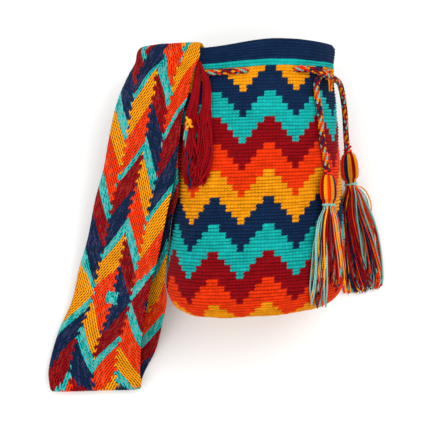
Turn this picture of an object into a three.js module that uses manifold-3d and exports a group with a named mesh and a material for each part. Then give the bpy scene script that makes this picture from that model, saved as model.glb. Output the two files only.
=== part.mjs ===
// A crocheted mochila bag lying on its back, mouth towards +Y and front up, with its woven
// shoulder strap laid in a loop beside it and a laced drawstring that ends in two tassels.
// Millimetres, +Z up. The origin is on the flat of the bag's back, on the surface it lies on.
import * as THREE from 'three';
import Module from 'manifold-3d';

const wasm = await Module();
wasm.setup();

// Driving dimensions.
const RIM_Y = 135; // plane of the mouth
const BASE_Y = -127; // plane of the base, at the middle of its height
const BASE_LEAN = -0.12; // the base slumps forward by this much for each mm of height
const BASE_SKEW = 0.07; // and is lower on its left
const BASE_MID_Z = 75;
const SAG_START = 0.7; // share of the wall's height above which the mouth sags
const SAG_MIDDLE = 1.5; // sag of the rim at its middle,
const SAG_LEFT = 9.5; // what the left adds to it
const SAG_RIGHT = 2; // and what the right adds
const WALL = 4.5; // thickness of the crocheted fabric
const SQUARENESS = 2.4; // exponent of the superellipse of the bag's section
const FLOOR_SINK = 3; // depth by which the round section is pressed flat where it lies
const CORNER_SHARE = 0.107; // share of the wall that the rounded corner of the base takes
const BASE_SHARE = 0.68; // radius of the flat of the base as a share of the section's
const STRAP_THICK = 5;
const STRAP_GAP = 1.1;
const CORD_R = 2.9;
const CORD_CLEAR_R = 3.4; // radius of the laced holes' clearance round the cord
const CORD_OUT = 3.5; // offset of the cord's centre from the wall outside it
const CORD_IN = -WALL - 3.5; // and inside it
const LACE_W = 0.893; // height of the lacing as a share of the wall
const THREAD_R = 0.9;

// The section of the bag at shares of its height: centre, half width, back height, front height.
const SECTIONS = [
  { w: 0, cx: -2, a: 89, back: 0, front: 148 },
  { w: 0.15, cx: -2, a: 89, back: 0, front: 153 },
  { w: 0.45, cx: -0.25, a: 83.25, back: 0, front: 153 },
  { w: 0.7, cx: -3.5, a: 83, back: 0, front: 150 },
  { w: 0.8, cx: -9.75, a: 87.25, back: 1, front: 145 },
  { w: 0.893, cx: -17, a: 93, back: 4, front: 139 },
  { w: 1, cx: -20.5, a: 97.5, back: 4, front: 139 },
];

const COLOURS = {
  bag_wall_front: 0xd9480f,
  bag_wall_back: 0xd9480f,
  bag_base: 0xe8930c,
  strap_upper_run: 0xe8930c,
  strap_lower_run: 0xe8930c,
  strap_fold: 0xe8930c,
  strap_fringe: 0x84121c,
  fringe_tie: 0xe8930c,
  strap_stitching_outer: 0x1b3456,
  strap_stitching_inner: 0x1b3456,
  drawstring: 0x8fa79a,
  tassel_front_yarn: 0xc8400f,
  tassel_front_binding: 0x1baca7,
  tassel_side_yarn: 0xc8400f,
  tassel_side_binding: 0x1baca7,
};

const part = new THREE.Group();

function addPiece(name, geometry) {
  const material = new THREE.MeshStandardMaterial({
    color: COLOURS[name],
    roughness: 0.95,
    metalness: 0,
  });
  const mesh = new THREE.Mesh(geometry, material);
  mesh.name = name;
  part.add(mesh);
}

// ---- the bag's shape -------------------------------------------------------------------------

// Value of one field of SECTIONS at share w: a cubic through the rows, level at both ends.
function sectionField(field, w) {
  const at = THREE.MathUtils.clamp(w, 0, 1);
  const last = SECTIONS.length - 1;
  let i = 0;
  while (i < last - 1 && at > SECTIONS[i + 1].w) i += 1;
  const slope = (j) => {
    if (j === 0 || j === last) return 0;
    const [before, after] = [SECTIONS[j - 1], SECTIONS[j + 1]];
    return (after[field] - before[field]) / (after.w - before.w);
  };
  const [p, q] = [SECTIONS[i], SECTIONS[i + 1]];
  const span = q.w - p.w;
  const t = (at - p.w) / span;
  const ease = t * t * (3 - 2 * t);
  const bends = (t ** 3 - 2 * t * t + t) * slope(i) + (t ** 3 - t * t) * slope(i + 1);
  return p[field] + (q[field] - p[field]) * ease + bends * span;
}

function sectionAt(w) {
  const back = sectionField('back', w);
  const front = sectionField('front', w);
  return {
    cx: sectionField('cx', w),
    a: sectionField('a', w),
    back,
    mid: (front + back - FLOOR_SINK) / 2,
    h: (front - back + FLOOR_SINK) / 2,
  };
}

// How far the slack mouth sags below its plane: most on the left, where the strap pulls it down.
function rimSag(x, w) {
  const share = THREE.MathUtils.clamp((w - SAG_START) / (1 - SAG_START), 0, 1) ** 2;
  const left = SAG_LEFT * THREE.MathUtils.smoothstep(-x, -20, 60);
  const right = SAG_RIGHT * THREE.MathUtils.smoothstep(x, 30, 75);
  return share * (SAG_MIDDLE + left + right);
}

const signedPower = (v, e) => Math.sign(v) * Math.abs(v) ** e;
const baseY = (x, z) => BASE_Y + BASE_LEAN * (z - BASE_MID_Z) + BASE_SKEW * x;

// Point of the wall: angle from the front's middle towards +X in degrees, share w of the height,
// share rho of the section's radius, and offset from the outer surface.
function wallPoint(angle, w, rho = 1, offset = 0) {
  const s = sectionAt(w);
  const turn = THREE.MathUtils.degToRad(angle);
  const x = s.cx + (s.a + offset) * rho * signedPower(Math.sin(turn), 2 / SQUARENESS);
  const rise = (s.h + offset) * rho * signedPower(Math.cos(turn), 2 / SQUARENESS);
  const z = Math.max(s.mid + rise, s.back - offset);
  const y = RIM_Y * w + baseY(x, z) * (1 - w) - rimSag(x, w);
  return new THREE.Vector3(x, y, z);
}

// Point above the bag's front at a given x and y, lifted from its outer surface.
function frontPoint(x, y, lift) {
  let z = BASE_MID_Z;
  let w = 0;
  for (let i = 0; i < 12; i += 1) {
    const low = baseY(x, z);
    w = (y + rimSag(x, w) - low) / (RIM_Y - low);
    const s = sectionAt(w);
    const reach = Math.min(Math.abs(x - s.cx) / (s.a + lift), 1);
    z = s.mid + (s.h + lift) * (1 - reach ** SQUARENESS) ** (1 / SQUARENESS);
  }
  return new THREE.Vector3(x, y, z);
}

// ---- meshes ----------------------------------------------------------------------------------

// Closed surface through rings of equal length. With FAN ends a fan closes each end ring, with
// FLAT ends strips join its two long sides, and with no ends the last ring joins the first.
const ENDS = { FAN: 'fan', FLAT: 'flat', NONE: 'none' };
function skin(rings, ends = ENDS.FAN) {
  const count = rings[0].length;
  const points = rings.flat();
  const faces = [];
  const turns = ends === ENDS.NONE ? rings.length : rings.length - 1;
  for (let i = 0; i < turns; i += 1) {
    const next = ((i + 1) % rings.length) * count;
    for (let j = 0; j < count; j += 1) {
      const k = (j + 1) % count;
      faces.push([i * count + j, i * count + k, next + k]);
      faces.push([i * count + j, next + k, next + j]);
    }
  }
  const caps = [
    { ring: rings[0], start: 0, flip: true },
    { ring: rings.at(-1), start: (rings.length - 1) * count, flip: false },
  ];
  for (const { ring, start, flip } of ends === ENDS.NONE ? [] : caps) {
    const cap = ends === ENDS.FAN ? fanCap(ring, start, points) : flatCap(count, start);
    faces.push(...cap.map(([a, b, c]) => (flip ? [a, c, b] : [a, b, c])));
  }
  return outward(points, faces);
}

function fanCap(ring, start, points) {
  const centre = new THREE.Vector3();
  for (const p of ring) centre.addScaledVector(p, 1 / ring.length);
  points.push(centre);
  return ring.map((_, j) => [points.length - 1, start + j, start + ((j + 1) % ring.length)]);
}

function flatCap(count, start) {
  const faces = [];
  for (let j = 0; j < count / 2 - 1; j += 1) {
    const [a, b] = [start + j, start + j + 1];
    const [c, d] = [start + count - 2 - j, start + count - 1 - j];
    faces.push([a, b, c], [a, c, d]);
  }
  return faces;
}

// Indexed geometry whose faces point out: the sign of its volume says which way they face.
function outward(points, faces) {
  let volume = 0;
  for (const [a, b, c] of faces) {
    volume += points[a].dot(new THREE.Vector3().crossVectors(points[b], points[c]));
  }
  const index = faces.flatMap(([a, b, c]) => (volume > 0 ? [a, b, c] : [a, c, b]));
  const geometry = new THREE.BufferGeometry();
  geometry.setAttribute('position', new THREE.Float32BufferAttribute(points.flatMap((p) => p.toArray()), 3));
  geometry.setIndex(index);
  geometry.computeVertexNormals();
  return geometry;
}

// Round tube along a path, as rings carried by the path's own frames.
function tube(path, radius, sides, steps) {
  const frames = path.computeFrenetFrames(steps, false);
  const rings = path.getSpacedPoints(steps).map((centre, i) =>
    Array.from({ length: sides }, (_, j) => {
      const turn = ((j + 0.5) / sides) * 2 * Math.PI;
      return centre
        .clone()
        .addScaledVector(frames.normals[i], radius * Math.cos(turn))
        .addScaledVector(frames.binormals[i], radius * Math.sin(turn));
    }),
  );
  return skin(rings);
}

function toManifold(geometry) {
  return new wasm.Manifold(
    new wasm.Mesh({
      numProp: 3,
      vertProperties: new Float32Array(geometry.getAttribute('position').array),
      triVerts: new Uint32Array(geometry.getIndex().array),
    }),
  );
}

function fromManifold(solid) {
  const mesh = solid.getMesh();
  const geometry = new THREE.BufferGeometry();
  geometry.setAttribute('position', new THREE.BufferAttribute(mesh.vertProperties, 3));
  geometry.setIndex(new THREE.BufferAttribute(mesh.triVerts, 1));
  geometry.computeVertexNormals();
  return geometry;
}

// ---- drawstring ------------------------------------------------------------------------------

// Angles where the cord passes through the wall, in order round the bag from its right flank.
// It starts inside at the first and comes out of the last, past the front's middle.
const LACE_HOLES = [77.4, 115, 150, 210, 245, 343.4, 361.2, 391];
const LACE_START = 80;
const LACE_END = 395;
const LACE_STEP = 5;
const HOLE_HALF_ANGLE = 5; // the cord crosses the wall over twice this angle

// Offset of the cord at an angle: it changes side at each hole, eased over the crossing.
function laceOffset(angle) {
  let inside = 0;
  LACE_HOLES.forEach((hole, i) => {
    const passed = THREE.MathUtils.smoothstep(angle, hole - HOLE_HALF_ANGLE, hole + HOLE_HALF_ANGLE);
    inside += i % 2 === 0 ? passed : -passed;
  });
  return THREE.MathUtils.lerp(CORD_OUT, CORD_IN, inside);
}

function cordPoints() {
  const points = [];
  // Loose end on the front, from its tassel up to the crossing: x, y and lift from the wall.
  const frontEnd = [
    [65.3, 5.2, 3.6],
    [63.8, 17, 3.6],
    [60.8, 34.2, 3.6],
    [59, 51.6, 3.6],
    [57.8, 67.1, 3.6],
    [55.5, 80.8, 3.6],
    [55.3, 92.8, 3.6],
    [60.1, 100.2, 3.6],
    [67.6, 105, 3.6],
  ];
  for (const [x, y, lift] of frontEnd) points.push(frontPoint(x, y, lift));
  for (let angle = LACE_START; angle <= LACE_END; angle += LACE_STEP) {
    points.push(wallPoint(angle, LACE_W, 1, laceOffset(angle)));
  }
  // Loose end that crosses over the first one and falls down the right flank to its tassel.
  const crossing = [
    [50, 105.4, 6.5],
    [56, 104, 10.3],
    [63, 101.4, 11],
    [70.5, 99.4, 7],
  ];
  for (const [x, y, lift] of crossing) points.push(frontPoint(x, y, lift));
  const flankEnd = [
    [80.5, 95.5, 92],
    [83.6, 88, 83],
    [86.6, 76.7, 71],
    [89, 60.2, 60],
    [90.6, 45.6, 50],
    [92.6, 31, 41],
  ];
  for (const [x, y, z] of flankEnd) points.push(new THREE.Vector3(x, y, z));
  return points;
}

const cordPath = new THREE.CatmullRomCurve3(cordPoints(), false, 'centripetal');
const CORD_SIDES = 8;
const CORD_STEPS = 80;
addPiece('drawstring', tube(cordPath, CORD_R, CORD_SIDES, CORD_STEPS));

// ---- bag body --------------------------------------------------------------------------------

function bagBody() {
  const AROUND = 52;
  const CORNER_STEPS = 4;
  const WALL_STEPS = 13;
  // The profile from the base's middle to the rim, as pairs of height and radius shares.
  const profile = [
    [0, 0.25],
    [0, 0.5],
  ];
  for (let i = 0; i <= CORNER_STEPS; i += 1) {
    const turn = (i / CORNER_STEPS) * (Math.PI / 2);
    profile.push([CORNER_SHARE * (1 - Math.cos(turn)), BASE_SHARE + (1 - BASE_SHARE) * Math.sin(turn)]);
  }
  for (let i = 1; i <= WALL_STEPS; i += 1) {
    profile.push([THREE.MathUtils.lerp(CORNER_SHARE, 1, i / WALL_STEPS), 1]);
  }
  const floorShare = WALL / (RIM_Y - BASE_Y);
  const ring = (w, rho, offset) =>
    Array.from({ length: AROUND }, (_, j) => wallPoint((j / AROUND) * 360, w, rho, offset));
  const outer = profile.map(([w, rho]) => ring(w, rho, 0));
  const inner = profile.map(([w, rho]) => ring(THREE.MathUtils.lerp(floorShare, 1, w), rho, -WALL));
  const shell = toManifold(skin([...outer, ...inner.reverse()]));
  const laced = toManifold(tube(cordPath, CORD_CLEAR_R, CORD_SIDES, CORD_STEPS));
  return shell.subtract(laced);
}

// One crocheted piece, in three nodes so that the collision hulls of the wall follow it closely.
const BAG_SPLIT_Y = -98;
const BAG_SPLIT_Z = 72;
const [bagWall, bagBase] = bagBody().splitByPlane([0, 1, 0], BAG_SPLIT_Y);
const [wallFront, wallBack] = bagWall.splitByPlane([0, 0, 1], BAG_SPLIT_Z);
addPiece('bag_wall_front', fromManifold(wallFront));
addPiece('bag_wall_back', fromManifold(wallBack));
addPiece('bag_base', fromManifold(bagBase));

// ---- shoulder strap --------------------------------------------------------------------------

const ACROSS = 10;
const STRAP_OUT = STRAP_THICK / 2 + STRAP_GAP;
const RIM_BEND_R = WALL / 2 + STRAP_OUT;
const STRAP_LEFT = -80; // the strap covers the rim from this angle
const STRAP_RIGHT = -17.5; // to this one
const TAIL_END_W = 0.941; // share of the height where the strap ends inside the rim
const FLANK_UP = -62; // on the left flank the strap covers these angles
const FLANK_DOWN = -122;

// Row of points across the strap where it follows the bag's wall, from its left edge.
function strapOnWall(left, right, w, offset) {
  return Array.from({ length: ACROSS + 1 }, (_, i) =>
    wallPoint(THREE.MathUtils.lerp(left, right, i / ACROSS), w, 1, offset),
  );
}

// Row of points across the strap where it is free: a chord with its middle raised by the crown.
function strapFree([left, right, crown]) {
  const a = new THREE.Vector3(...left);
  const b = new THREE.Vector3(...right);
  const chord = new THREE.Vector3().subVectors(b, a).normalize();
  const up = new THREE.Vector3(0, 0, 1).addScaledVector(chord, -chord.z).normalize();
  return Array.from({ length: ACROSS + 1 }, (_, i) => {
    const v = i / ACROSS;
    return a.clone().lerp(b, v).addScaledVector(up, crown * 4 * v * (1 - v));
  });
}

function strapRows() {
  const rows = [];
  const rimShare = (y) => 1 + y / (RIM_Y - BASE_Y);
  for (const w of [TAIL_END_W, 0.96, 0.98]) {
    rows.push(strapOnWall(STRAP_LEFT, STRAP_RIGHT, w, -WALL - STRAP_OUT));
  }
  const RIM_BEND_STEPS = 6;
  for (let i = 0; i <= RIM_BEND_STEPS; i += 1) {
    const turn = (i / RIM_BEND_STEPS) * Math.PI;
    const offset = -WALL / 2 - RIM_BEND_R * Math.cos(turn);
    const row = strapOnWall(STRAP_LEFT, STRAP_RIGHT, 1, offset);
    for (const p of row) p.y += RIM_BEND_R * Math.sin(turn);
    rows.push(row);
  }
  rows.push(strapOnWall(STRAP_LEFT, STRAP_RIGHT, rimShare(-9), STRAP_OUT + 2));
  // The upper run down to the fold, then the lower run back up: left edge, right edge, crown.
  const free = [
    [[-129, 106, 70], [-65, 100, 140], 14],
    [[-137, 90, 70], [-69, 80, 138.5], 10],
    [[-143, 75, 66], [-74, 64, 135], 6],
    [[-150, 45, 60], [-78, 33, 130], 4],
    [[-157, 11, 50], [-83, -2, 124.5], 3],
    [[-166, -20, 42], [-90, -33, 114], 2],
    [[-174, -58, 33], [-98, -71, 99], 2],
    [[-184, -91, 24], [-107, -105, 82], 2],
    [[-192, -124, 15], [-113, -136, 66], 2],
    [[-205, -153, 11], [-118, -162, 49], 2],
    [[-213, -178, 10.5], [-120, -183, 29], 1],
    [[-217, -199, 12], [-121, -201, 16], 0.5],
    [[-216, -210, 13.5], [-120, -208, 14], 0],
    [[-215, -216.5, 12], [-120.5, -214, 12], 0],
    [[-214.5, -218.5, 8], [-120.5, -216, 8], 0],
    [[-214, -216.5, 4], [-120.5, -214, 4], 0],
    [[-214, -210, 2.6], [-120, -208, 2.6], 0],
    [[-211, -198, 2.6], [-116, -198, 2.8], 0],
    [[-200, -179, 2.6], [-106, -176, 12], 1],
    [[-187, -155, 3], [-99, -148, 34], 2],
    [[-172, -130, 4], [-94, -123, 56], 2],
    [[-153, -108, 5], [-95.5, -100, 78], 1],
    [[-134, -82, 7], [-92.5, -75, 91], 0],
    [[-124, -53, 9], [-90, -48, 96], 1],
  ];
  for (const station of free) rows.push(strapFree(station));
  // It closes up to the wall over the first of these rows, and is sewn flat to it at the last.
  for (const [w, clear] of [[0.46, 1.5], [0.53, 2], [0.62, 0], [0.74, 0]]) {
    rows.push(strapOnWall(FLANK_DOWN, FLANK_UP, w, STRAP_OUT + clear));
  }
  return rows;
}

function strap() {
  const rows = strapRows();
  const STATIONS = 74;
  // Each line of points along the strap becomes one smooth curve, read at even steps.
  const lines = rows[0].map((_, j) => {
    const curve = new THREE.CatmullRomCurve3(rows.map((row) => row[j]), false, 'centripetal');
    return Array.from({ length: STATIONS + 1 }, (_unused, i) => curve.getPoint(i / STATIONS));
  });
  const at = (i, j) => lines[THREE.MathUtils.clamp(j, 0, ACROSS)][THREE.MathUtils.clamp(i, 0, STATIONS)];
  const face = (i, j, side) => {
    const along = new THREE.Vector3().subVectors(at(i + 1, j), at(i - 1, j));
    const across = new THREE.Vector3().subVectors(at(i, j + 1), at(i, j - 1));
    const normal = along.cross(across).normalize();
    const p = at(i, j).clone().addScaledVector(normal, (side * STRAP_THICK) / 2);
    p.z = Math.max(p.z, 0);
    return p;
  };
  const rings = Array.from({ length: STATIONS + 1 }, (_, i) => {
    const top = Array.from({ length: ACROSS + 1 }, (_unused, j) => face(i, j, 1));
    const bottom = Array.from({ length: ACROSS + 1 }, (_unused, j) => face(i, ACROSS - j, -1));
    return [...top, ...bottom];
  });
  return skin(rings, ENDS.FLAT);
}

// One woven band, in three nodes: both runs are joined by the fold, and the upper one is first.
const STRAP_SPLIT_Y = -204;
const [strapRuns, strapFold] = toManifold(strap()).splitByPlane([0, 1, 0], STRAP_SPLIT_Y);
const runTop = (run) => run.boundingBox().max[1];
const [upperRun, lowerRun] = strapRuns.decompose().sort((p, q) => runTop(q) - runTop(p));
addPiece('strap_upper_run', fromManifold(upperRun));
addPiece('strap_lower_run', fromManifold(lowerRun));
addPiece('strap_fold', fromManifold(strapFold));

// ---- stitching of the strap's ends -----------------------------------------------------------

// Whip stitches over a strap end on the wall: the thread runs from the wall beyond the end,
// over the edge and onto the strap's face, then to the next stitch.
function stitching(left, right, endShare, away, wallOffset, faceOffset) {
  const STITCHES = 6;
  const points = [];
  for (let i = 0; i < STITCHES; i += 1) {
    const from = THREE.MathUtils.lerp(left, right, (i + 0.15) / STITCHES);
    const to = THREE.MathUtils.lerp(left, right, (i + 0.65) / STITCHES);
    points.push(wallPoint(from, endShare + away * 0.019, 1, wallOffset));
    points.push(wallPoint(from, endShare + away * 0.01, 1, faceOffset));
    points.push(wallPoint(to, endShare - away * 0.015, 1, faceOffset));
    points.push(wallPoint(to, endShare + away * 0.01, 1, faceOffset));
  }
  const path = new THREE.CatmullRomCurve3(points, false, 'centripetal');
  return tube(path, THREAD_R, 6, 92);
}

const faceLift = STRAP_THICK + STRAP_GAP + THREAD_R + 0.6;
addPiece('strap_stitching_outer', stitching(FLANK_DOWN, FLANK_UP, 0.74, 1, THREAD_R + 0.5, faceLift));
addPiece(
  'strap_stitching_inner',
  stitching(STRAP_LEFT, STRAP_RIGHT, TAIL_END_W - 0.009, -1, -WALL - THREAD_R - 0.5, -WALL - faceLift),
);

// ---- bundles of yarn -------------------------------------------------------------------------

const BUNDLE_SIDES = 12;
const turnAt = (j) => (j / BUNDLE_SIDES) * 2 * Math.PI;

// Ring round a bundle that lies on the front: x, y, half width, height of its middle over the
// wall and half thickness.
function ringOnFront([x, y, halfWidth, lift, halfThick], extra = 0) {
  return Array.from({ length: BUNDLE_SIDES }, (_, j) =>
    frontPoint(
      x + (halfWidth + extra) * Math.cos(turnAt(j)),
      y,
      lift + (halfThick + extra) * Math.sin(turnAt(j)),
    ),
  );
}

// Ring round a bundle beside the bag, square to the bundle's own direction in plan.
const SIDE_LEAN = new THREE.Vector3(0.2, -1, 0).normalize();
function ringBeside([x, y, z, halfWidth, halfThick], extra = 0) {
  const across = new THREE.Vector3(-SIDE_LEAN.y, SIDE_LEAN.x, 0);
  return Array.from({ length: BUNDLE_SIDES }, (_, j) => {
    const p = new THREE.Vector3(x, y, z).addScaledVector(across, (halfWidth + extra) * Math.cos(turnAt(j)));
    p.z = Math.max(p.z + (halfThick + extra) * Math.sin(turnAt(j)), 0);
    return p;
  });
}

// Tie round a bundle's neck: a closed band between two neck stations.
const BAND_GAP = 0.4;
const BAND_THICK = 1.8;
function band(ring, first, second) {
  const far = BAND_GAP + BAND_THICK;
  return skin([ring(first, BAND_GAP), ring(first, far), ring(second, far), ring(second, BAND_GAP)], ENDS.NONE);
}

// Front tassel: head, neck and skirt, lying down the right of the front.
const frontNeck = [
  [66.1, -23, 5.6, 6.9, 4],
  [66.3, -27.5, 5.6, 6.9, 4],
];
const frontTassel = [
  [65.4, 3.6, 2, 7.2, 2],
  [65.4, 1.5, 6, 7.4, 5.2],
  [65.8, -8, 8.4, 7.6, 6.6],
  [66.1, -19, 7.6, 7.4, 6],
  [66.1, -21.5, 5.6, 6.9, 4],
  frontNeck[0],
  frontNeck[1],
  [66.4, -29, 5.8, 6.9, 4.2],
  [66.8, -40, 10.5, 6, 5],
  [67.2, -58, 15, 5.4, 4.6],
  [68, -80, 19, 5, 4.2],
  [68, -105, 22, 4.6, 3.8],
  [67, -117, 20, 4, 2.8],
];
addPiece('tassel_front_yarn', skin(frontTassel.map((s) => ringOnFront(s))));
addPiece('tassel_front_binding', band(ringOnFront, ...frontNeck));

// Side tassel: it hangs past the right flank and its skirt lies on the surface.
const sideNeck = [
  [97.3, -1, 25.5, 5.6, 5.2],
  [98, -5.5, 24.2, 5.6, 5.2],
];
const sideTassel = [
  [93.4, 28.8, 39, 2, 2],
  [93.8, 26, 38, 6, 5.2],
  [95.2, 14, 32.5, 8.6, 7.4],
  [96.7, 3.5, 27.5, 7.6, 6.6],
  [97.1, 1, 26.3, 5.6, 5.2],
  sideNeck[0],
  sideNeck[1],
  [98.2, -7, 23.8, 5.8, 5.4],
  [99.3, -18, 20.5, 11.5, 7],
  [101.7, -35, 15.5, 16, 7.6],
  [106.5, -58, 10.5, 19.5, 6.8],
  [110.5, -86, 7.6, 21, 5.8],
  [112.5, -110, 6, 20, 4.6],
  [112.5, -117, 4.6, 16, 3],
];
addPiece('tassel_side_yarn', skin(sideTassel.map((s) => ringBeside(s))));
addPiece('tassel_side_binding', band(ringBeside, ...sideNeck));

// Fringe of the strap, a flat bundle on the front beside the strap: x, y, half width.
const fringe = [
  [-57.8, 112, 0.8],
  [-57.4, 104, 3.6],
  [-56, 95, 7],
  [-56.4, 80, 9.2],
  [-58.6, 64, 10.6],
  [-59.4, 46, 12],
  [-60, 18, 12.5],
  [-62, -2, 9.5],
  [-63.5, -9, 7],
];
const FRINGE_LIFT = 3.2;
const FRINGE_HALF = 2.6;
addPiece('strap_fringe', skin(fringe.map((s) => ringOnFront([...s, FRINGE_LIFT, FRINGE_HALF]))));

// The knot tied on top of the fringe.
const KNOT_LIFT = 9.4;
const knot = [
  [-68, 59.5, 1, 1],
  [-68, 57.5, 3, 2.6],
  [-68, 53, 3.8, 3.2],
  [-68, 48.5, 3, 2.6],
  [-68, 46.5, 1, 1],
];
addPiece('fringe_tie', skin(knot.map(([x, y, w, t]) => ringOnFront([x, y, w, KNOT_LIFT, t]))));

export default part;
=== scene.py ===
"""A crocheted mochila bag lying on its back, seen from straight above.

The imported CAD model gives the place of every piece. This script replaces its plain soft solids
with the crocheted wall, the woven strap, the braided drawstring, the tassels and the fringe.
Shapes are worked out in millimetres and put into the meshes in metres.
"""

import logging
import math
from dataclasses import dataclass, field
from enum import Enum

import bpy
import numpy as np
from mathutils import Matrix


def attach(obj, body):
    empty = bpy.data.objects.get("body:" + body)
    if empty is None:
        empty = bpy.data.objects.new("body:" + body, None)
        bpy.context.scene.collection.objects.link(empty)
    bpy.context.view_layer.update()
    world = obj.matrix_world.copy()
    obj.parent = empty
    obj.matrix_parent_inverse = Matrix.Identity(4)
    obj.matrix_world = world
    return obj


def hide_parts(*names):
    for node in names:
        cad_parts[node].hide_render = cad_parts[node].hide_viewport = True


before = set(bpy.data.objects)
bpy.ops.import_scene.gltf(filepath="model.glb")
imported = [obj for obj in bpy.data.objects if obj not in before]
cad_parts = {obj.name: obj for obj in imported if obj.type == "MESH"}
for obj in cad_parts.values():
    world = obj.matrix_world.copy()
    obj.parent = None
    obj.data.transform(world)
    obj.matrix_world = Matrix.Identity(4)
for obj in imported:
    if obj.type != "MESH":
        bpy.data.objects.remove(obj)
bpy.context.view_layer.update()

MM = 0.001
TAU = 2.0 * math.pi
BODY = "root"
UP = np.array([0.0, 0.0, 1.0])
log = logging.getLogger("mochila")


# ---- colours and small tools ----


def linear(colour: int) -> np.ndarray:
    """Turn an sRGB colour, 0xRRGGBB, into linear red, green and blue from 0 to 1."""
    srgb = np.array([(colour >> 16) & 255, (colour >> 8) & 255, colour & 255]) / 255.0
    return np.where(srgb <= 0.04045, srgb / 12.92, ((srgb + 0.055) / 1.055) ** 2.4)


class Yarn(Enum):
    """Dyed cotton yarns that the bag is made of."""

    NAVY = 0x0F2748
    TURQUOISE = 0x12ACA6
    MAROON = 0x8C0611
    ORANGE = 0xEE3606
    YELLOW = 0xF0960A
    PALE_TURQUOISE = 0x7FB8AA

    @property
    def rgb(self) -> np.ndarray:
        """Linear colour of the yarn."""
        return linear(self.value)


def dyed(yarns: list[Yarn], choice: np.ndarray) -> np.ndarray:
    """Linear colours of many faces or strands, from whole numbers that each name a yarn."""
    return np.array([yarn.rgb for yarn in yarns])[choice]


def ease(value: np.ndarray) -> np.ndarray:
    """Cubic ramp: three times the square less two times the cube, held from 0 to 1."""
    held = np.clip(value, 0.0, 1.0)
    return held * held * (3.0 - 2.0 * held)


def unit(vectors: np.ndarray) -> np.ndarray:
    """Vectors of length one, along the last axis."""
    return vectors / np.maximum(np.linalg.norm(vectors, axis=-1, keepdims=True), 1e-9)


def distance_along(line: np.ndarray) -> np.ndarray:
    """Distance from a line's start to each of its points: the sum of the steps before it."""
    return np.concatenate([[0], np.cumsum(np.linalg.norm(np.diff(line, axis=0), axis=1))])


def scatter(a: np.ndarray, b: np.ndarray) -> np.ndarray:
    """A repeatable number from 0 to 1 for each pair of whole numbers: a sine's far decimals."""
    weight_a, weight_b, size = 12.9898, 78.233, 43758.5453
    return np.mod(np.sin(a * weight_a + b * weight_b) * size, 1.0)


def carried(line: np.ndarray) -> tuple[np.ndarray, np.ndarray]:
    """Two directions square to a curve, carried along it with no twist.

    Args:
        line: points of the curve.

    Returns:
        Both unit directions at each point.
    """
    tangent = unit(np.gradient(line, axis=0))
    normal = np.zeros_like(line)
    normal[0] = unit(np.cross(tangent[0], UP))
    for i in range(1, len(line)):
        turned = normal[i - 1] - tangent[i] * np.dot(normal[i - 1], tangent[i])
        normal[i] = turned / np.linalg.norm(turned)
    return normal, np.cross(tangent, normal)


def normals_of(points: np.ndarray) -> np.ndarray:
    """Normals of a grid of closed rows: the product of its two directions' differences."""
    across = np.roll(points, -1, axis=1) - np.roll(points, 1, axis=1)
    return unit(np.cross(np.gradient(points, axis=0), across))


def centripetal(points: np.ndarray, at: np.ndarray) -> np.ndarray:
    """Smooth curve through points, by the centripetal Catmull-Rom rule.

    Each tangent is the sum of the slopes on both sides less the slope across both, where a
    step's length in the parameter is the square root of the distance between its points.

    Args:
        points: control points along the first axis; any axes between it and the last are lines.
        at: positions along the curve, from 0 to the number of control points less one.

    Returns:
        Points at those positions, along the first axis.
    """
    lead = 2.0 * points[:1] - points[1:2]
    tail = 2.0 * points[-1:] - points[-2:-1]
    padded = np.concatenate([lead, points, tail])
    step = np.sqrt(np.linalg.norm(np.diff(padded, axis=0), axis=-1, keepdims=True)) + 1e-9
    i = np.clip(np.floor(at).astype(int), 0, len(points) - 2)
    t = (at - i).reshape([-1] + [1] * (points.ndim - 1))
    p0, p1, p2, p3 = (padded[i + k] for k in range(4))
    d0, d1, d2 = (step[i + k] for k in range(3))
    m1 = ((p1 - p0) / d0 - (p2 - p0) / (d0 + d1) + (p2 - p1) / d1) * d1
    m2 = ((p2 - p1) / d1 - (p3 - p1) / (d1 + d2) + (p3 - p2) / d2) * d1
    return (
        (2 * t**3 - 3 * t**2 + 1) * p1
        + (t**3 - 2 * t**2 + t) * m1
        + (-2 * t**3 + 3 * t**2) * p2
        + (t**3 - t**2) * m2
    )


@dataclass
class Surface:
    """A grid of points that becomes one mesh.

    Attributes:
        points: rows and columns of points, in millimetres.
        colour: linear colour of each face, by row and column of faces.
        relief: height of each point in its yarn, 0 in a groove to 1 on a crest, which sets painted shade.
        uv: position of each point in the pattern, in stitches or yarns.
        closed: whether each row's last point is joined to its first.
        own_corners: pattern positions of the four corners of each face, if they aren't shared.
        beneath: colour of each face's slits, mostly a dark painted shade, here and there pale weft.
    """

    points: np.ndarray
    colour: np.ndarray
    relief: np.ndarray
    uv: np.ndarray
    closed: bool = False
    own_corners: np.ndarray | None = None
    beneath: np.ndarray | None = None

    def faces(self) -> np.ndarray:
        """Number the corners of the faces, a face for each cell of the grid.

        Returns:
            Four point numbers for each face.
        """
        rows, columns = self.points.shape[:2]
        wide = columns if self.closed else columns - 1
        i = np.arange(rows - 1)[:, None] * columns
        j = np.arange(wide)[None, :]
        k = (j + 1) % columns
        return np.stack([i + j, i + columns + j, i + columns + k, i + k], axis=-1).reshape(-1, 4)

    def corner_uv(self) -> np.ndarray:
        """Pattern position of each face corner, carried past the join of a closed row.

        Returns:
            Two values for each corner.
        """
        if self.own_corners is not None:
            return self.own_corners.reshape(-1, 2)
        uv = self.uv
        if self.closed:
            turn = uv[:, 1:2] - uv[:, :1]
            uv = np.concatenate([uv, uv[:, -1:] + turn], axis=1)
        cell = np.stack([uv[:-1, :-1], uv[1:, :-1], uv[1:, 1:], uv[:-1, 1:]], axis=2)
        return cell.reshape(-1, 2)


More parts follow.
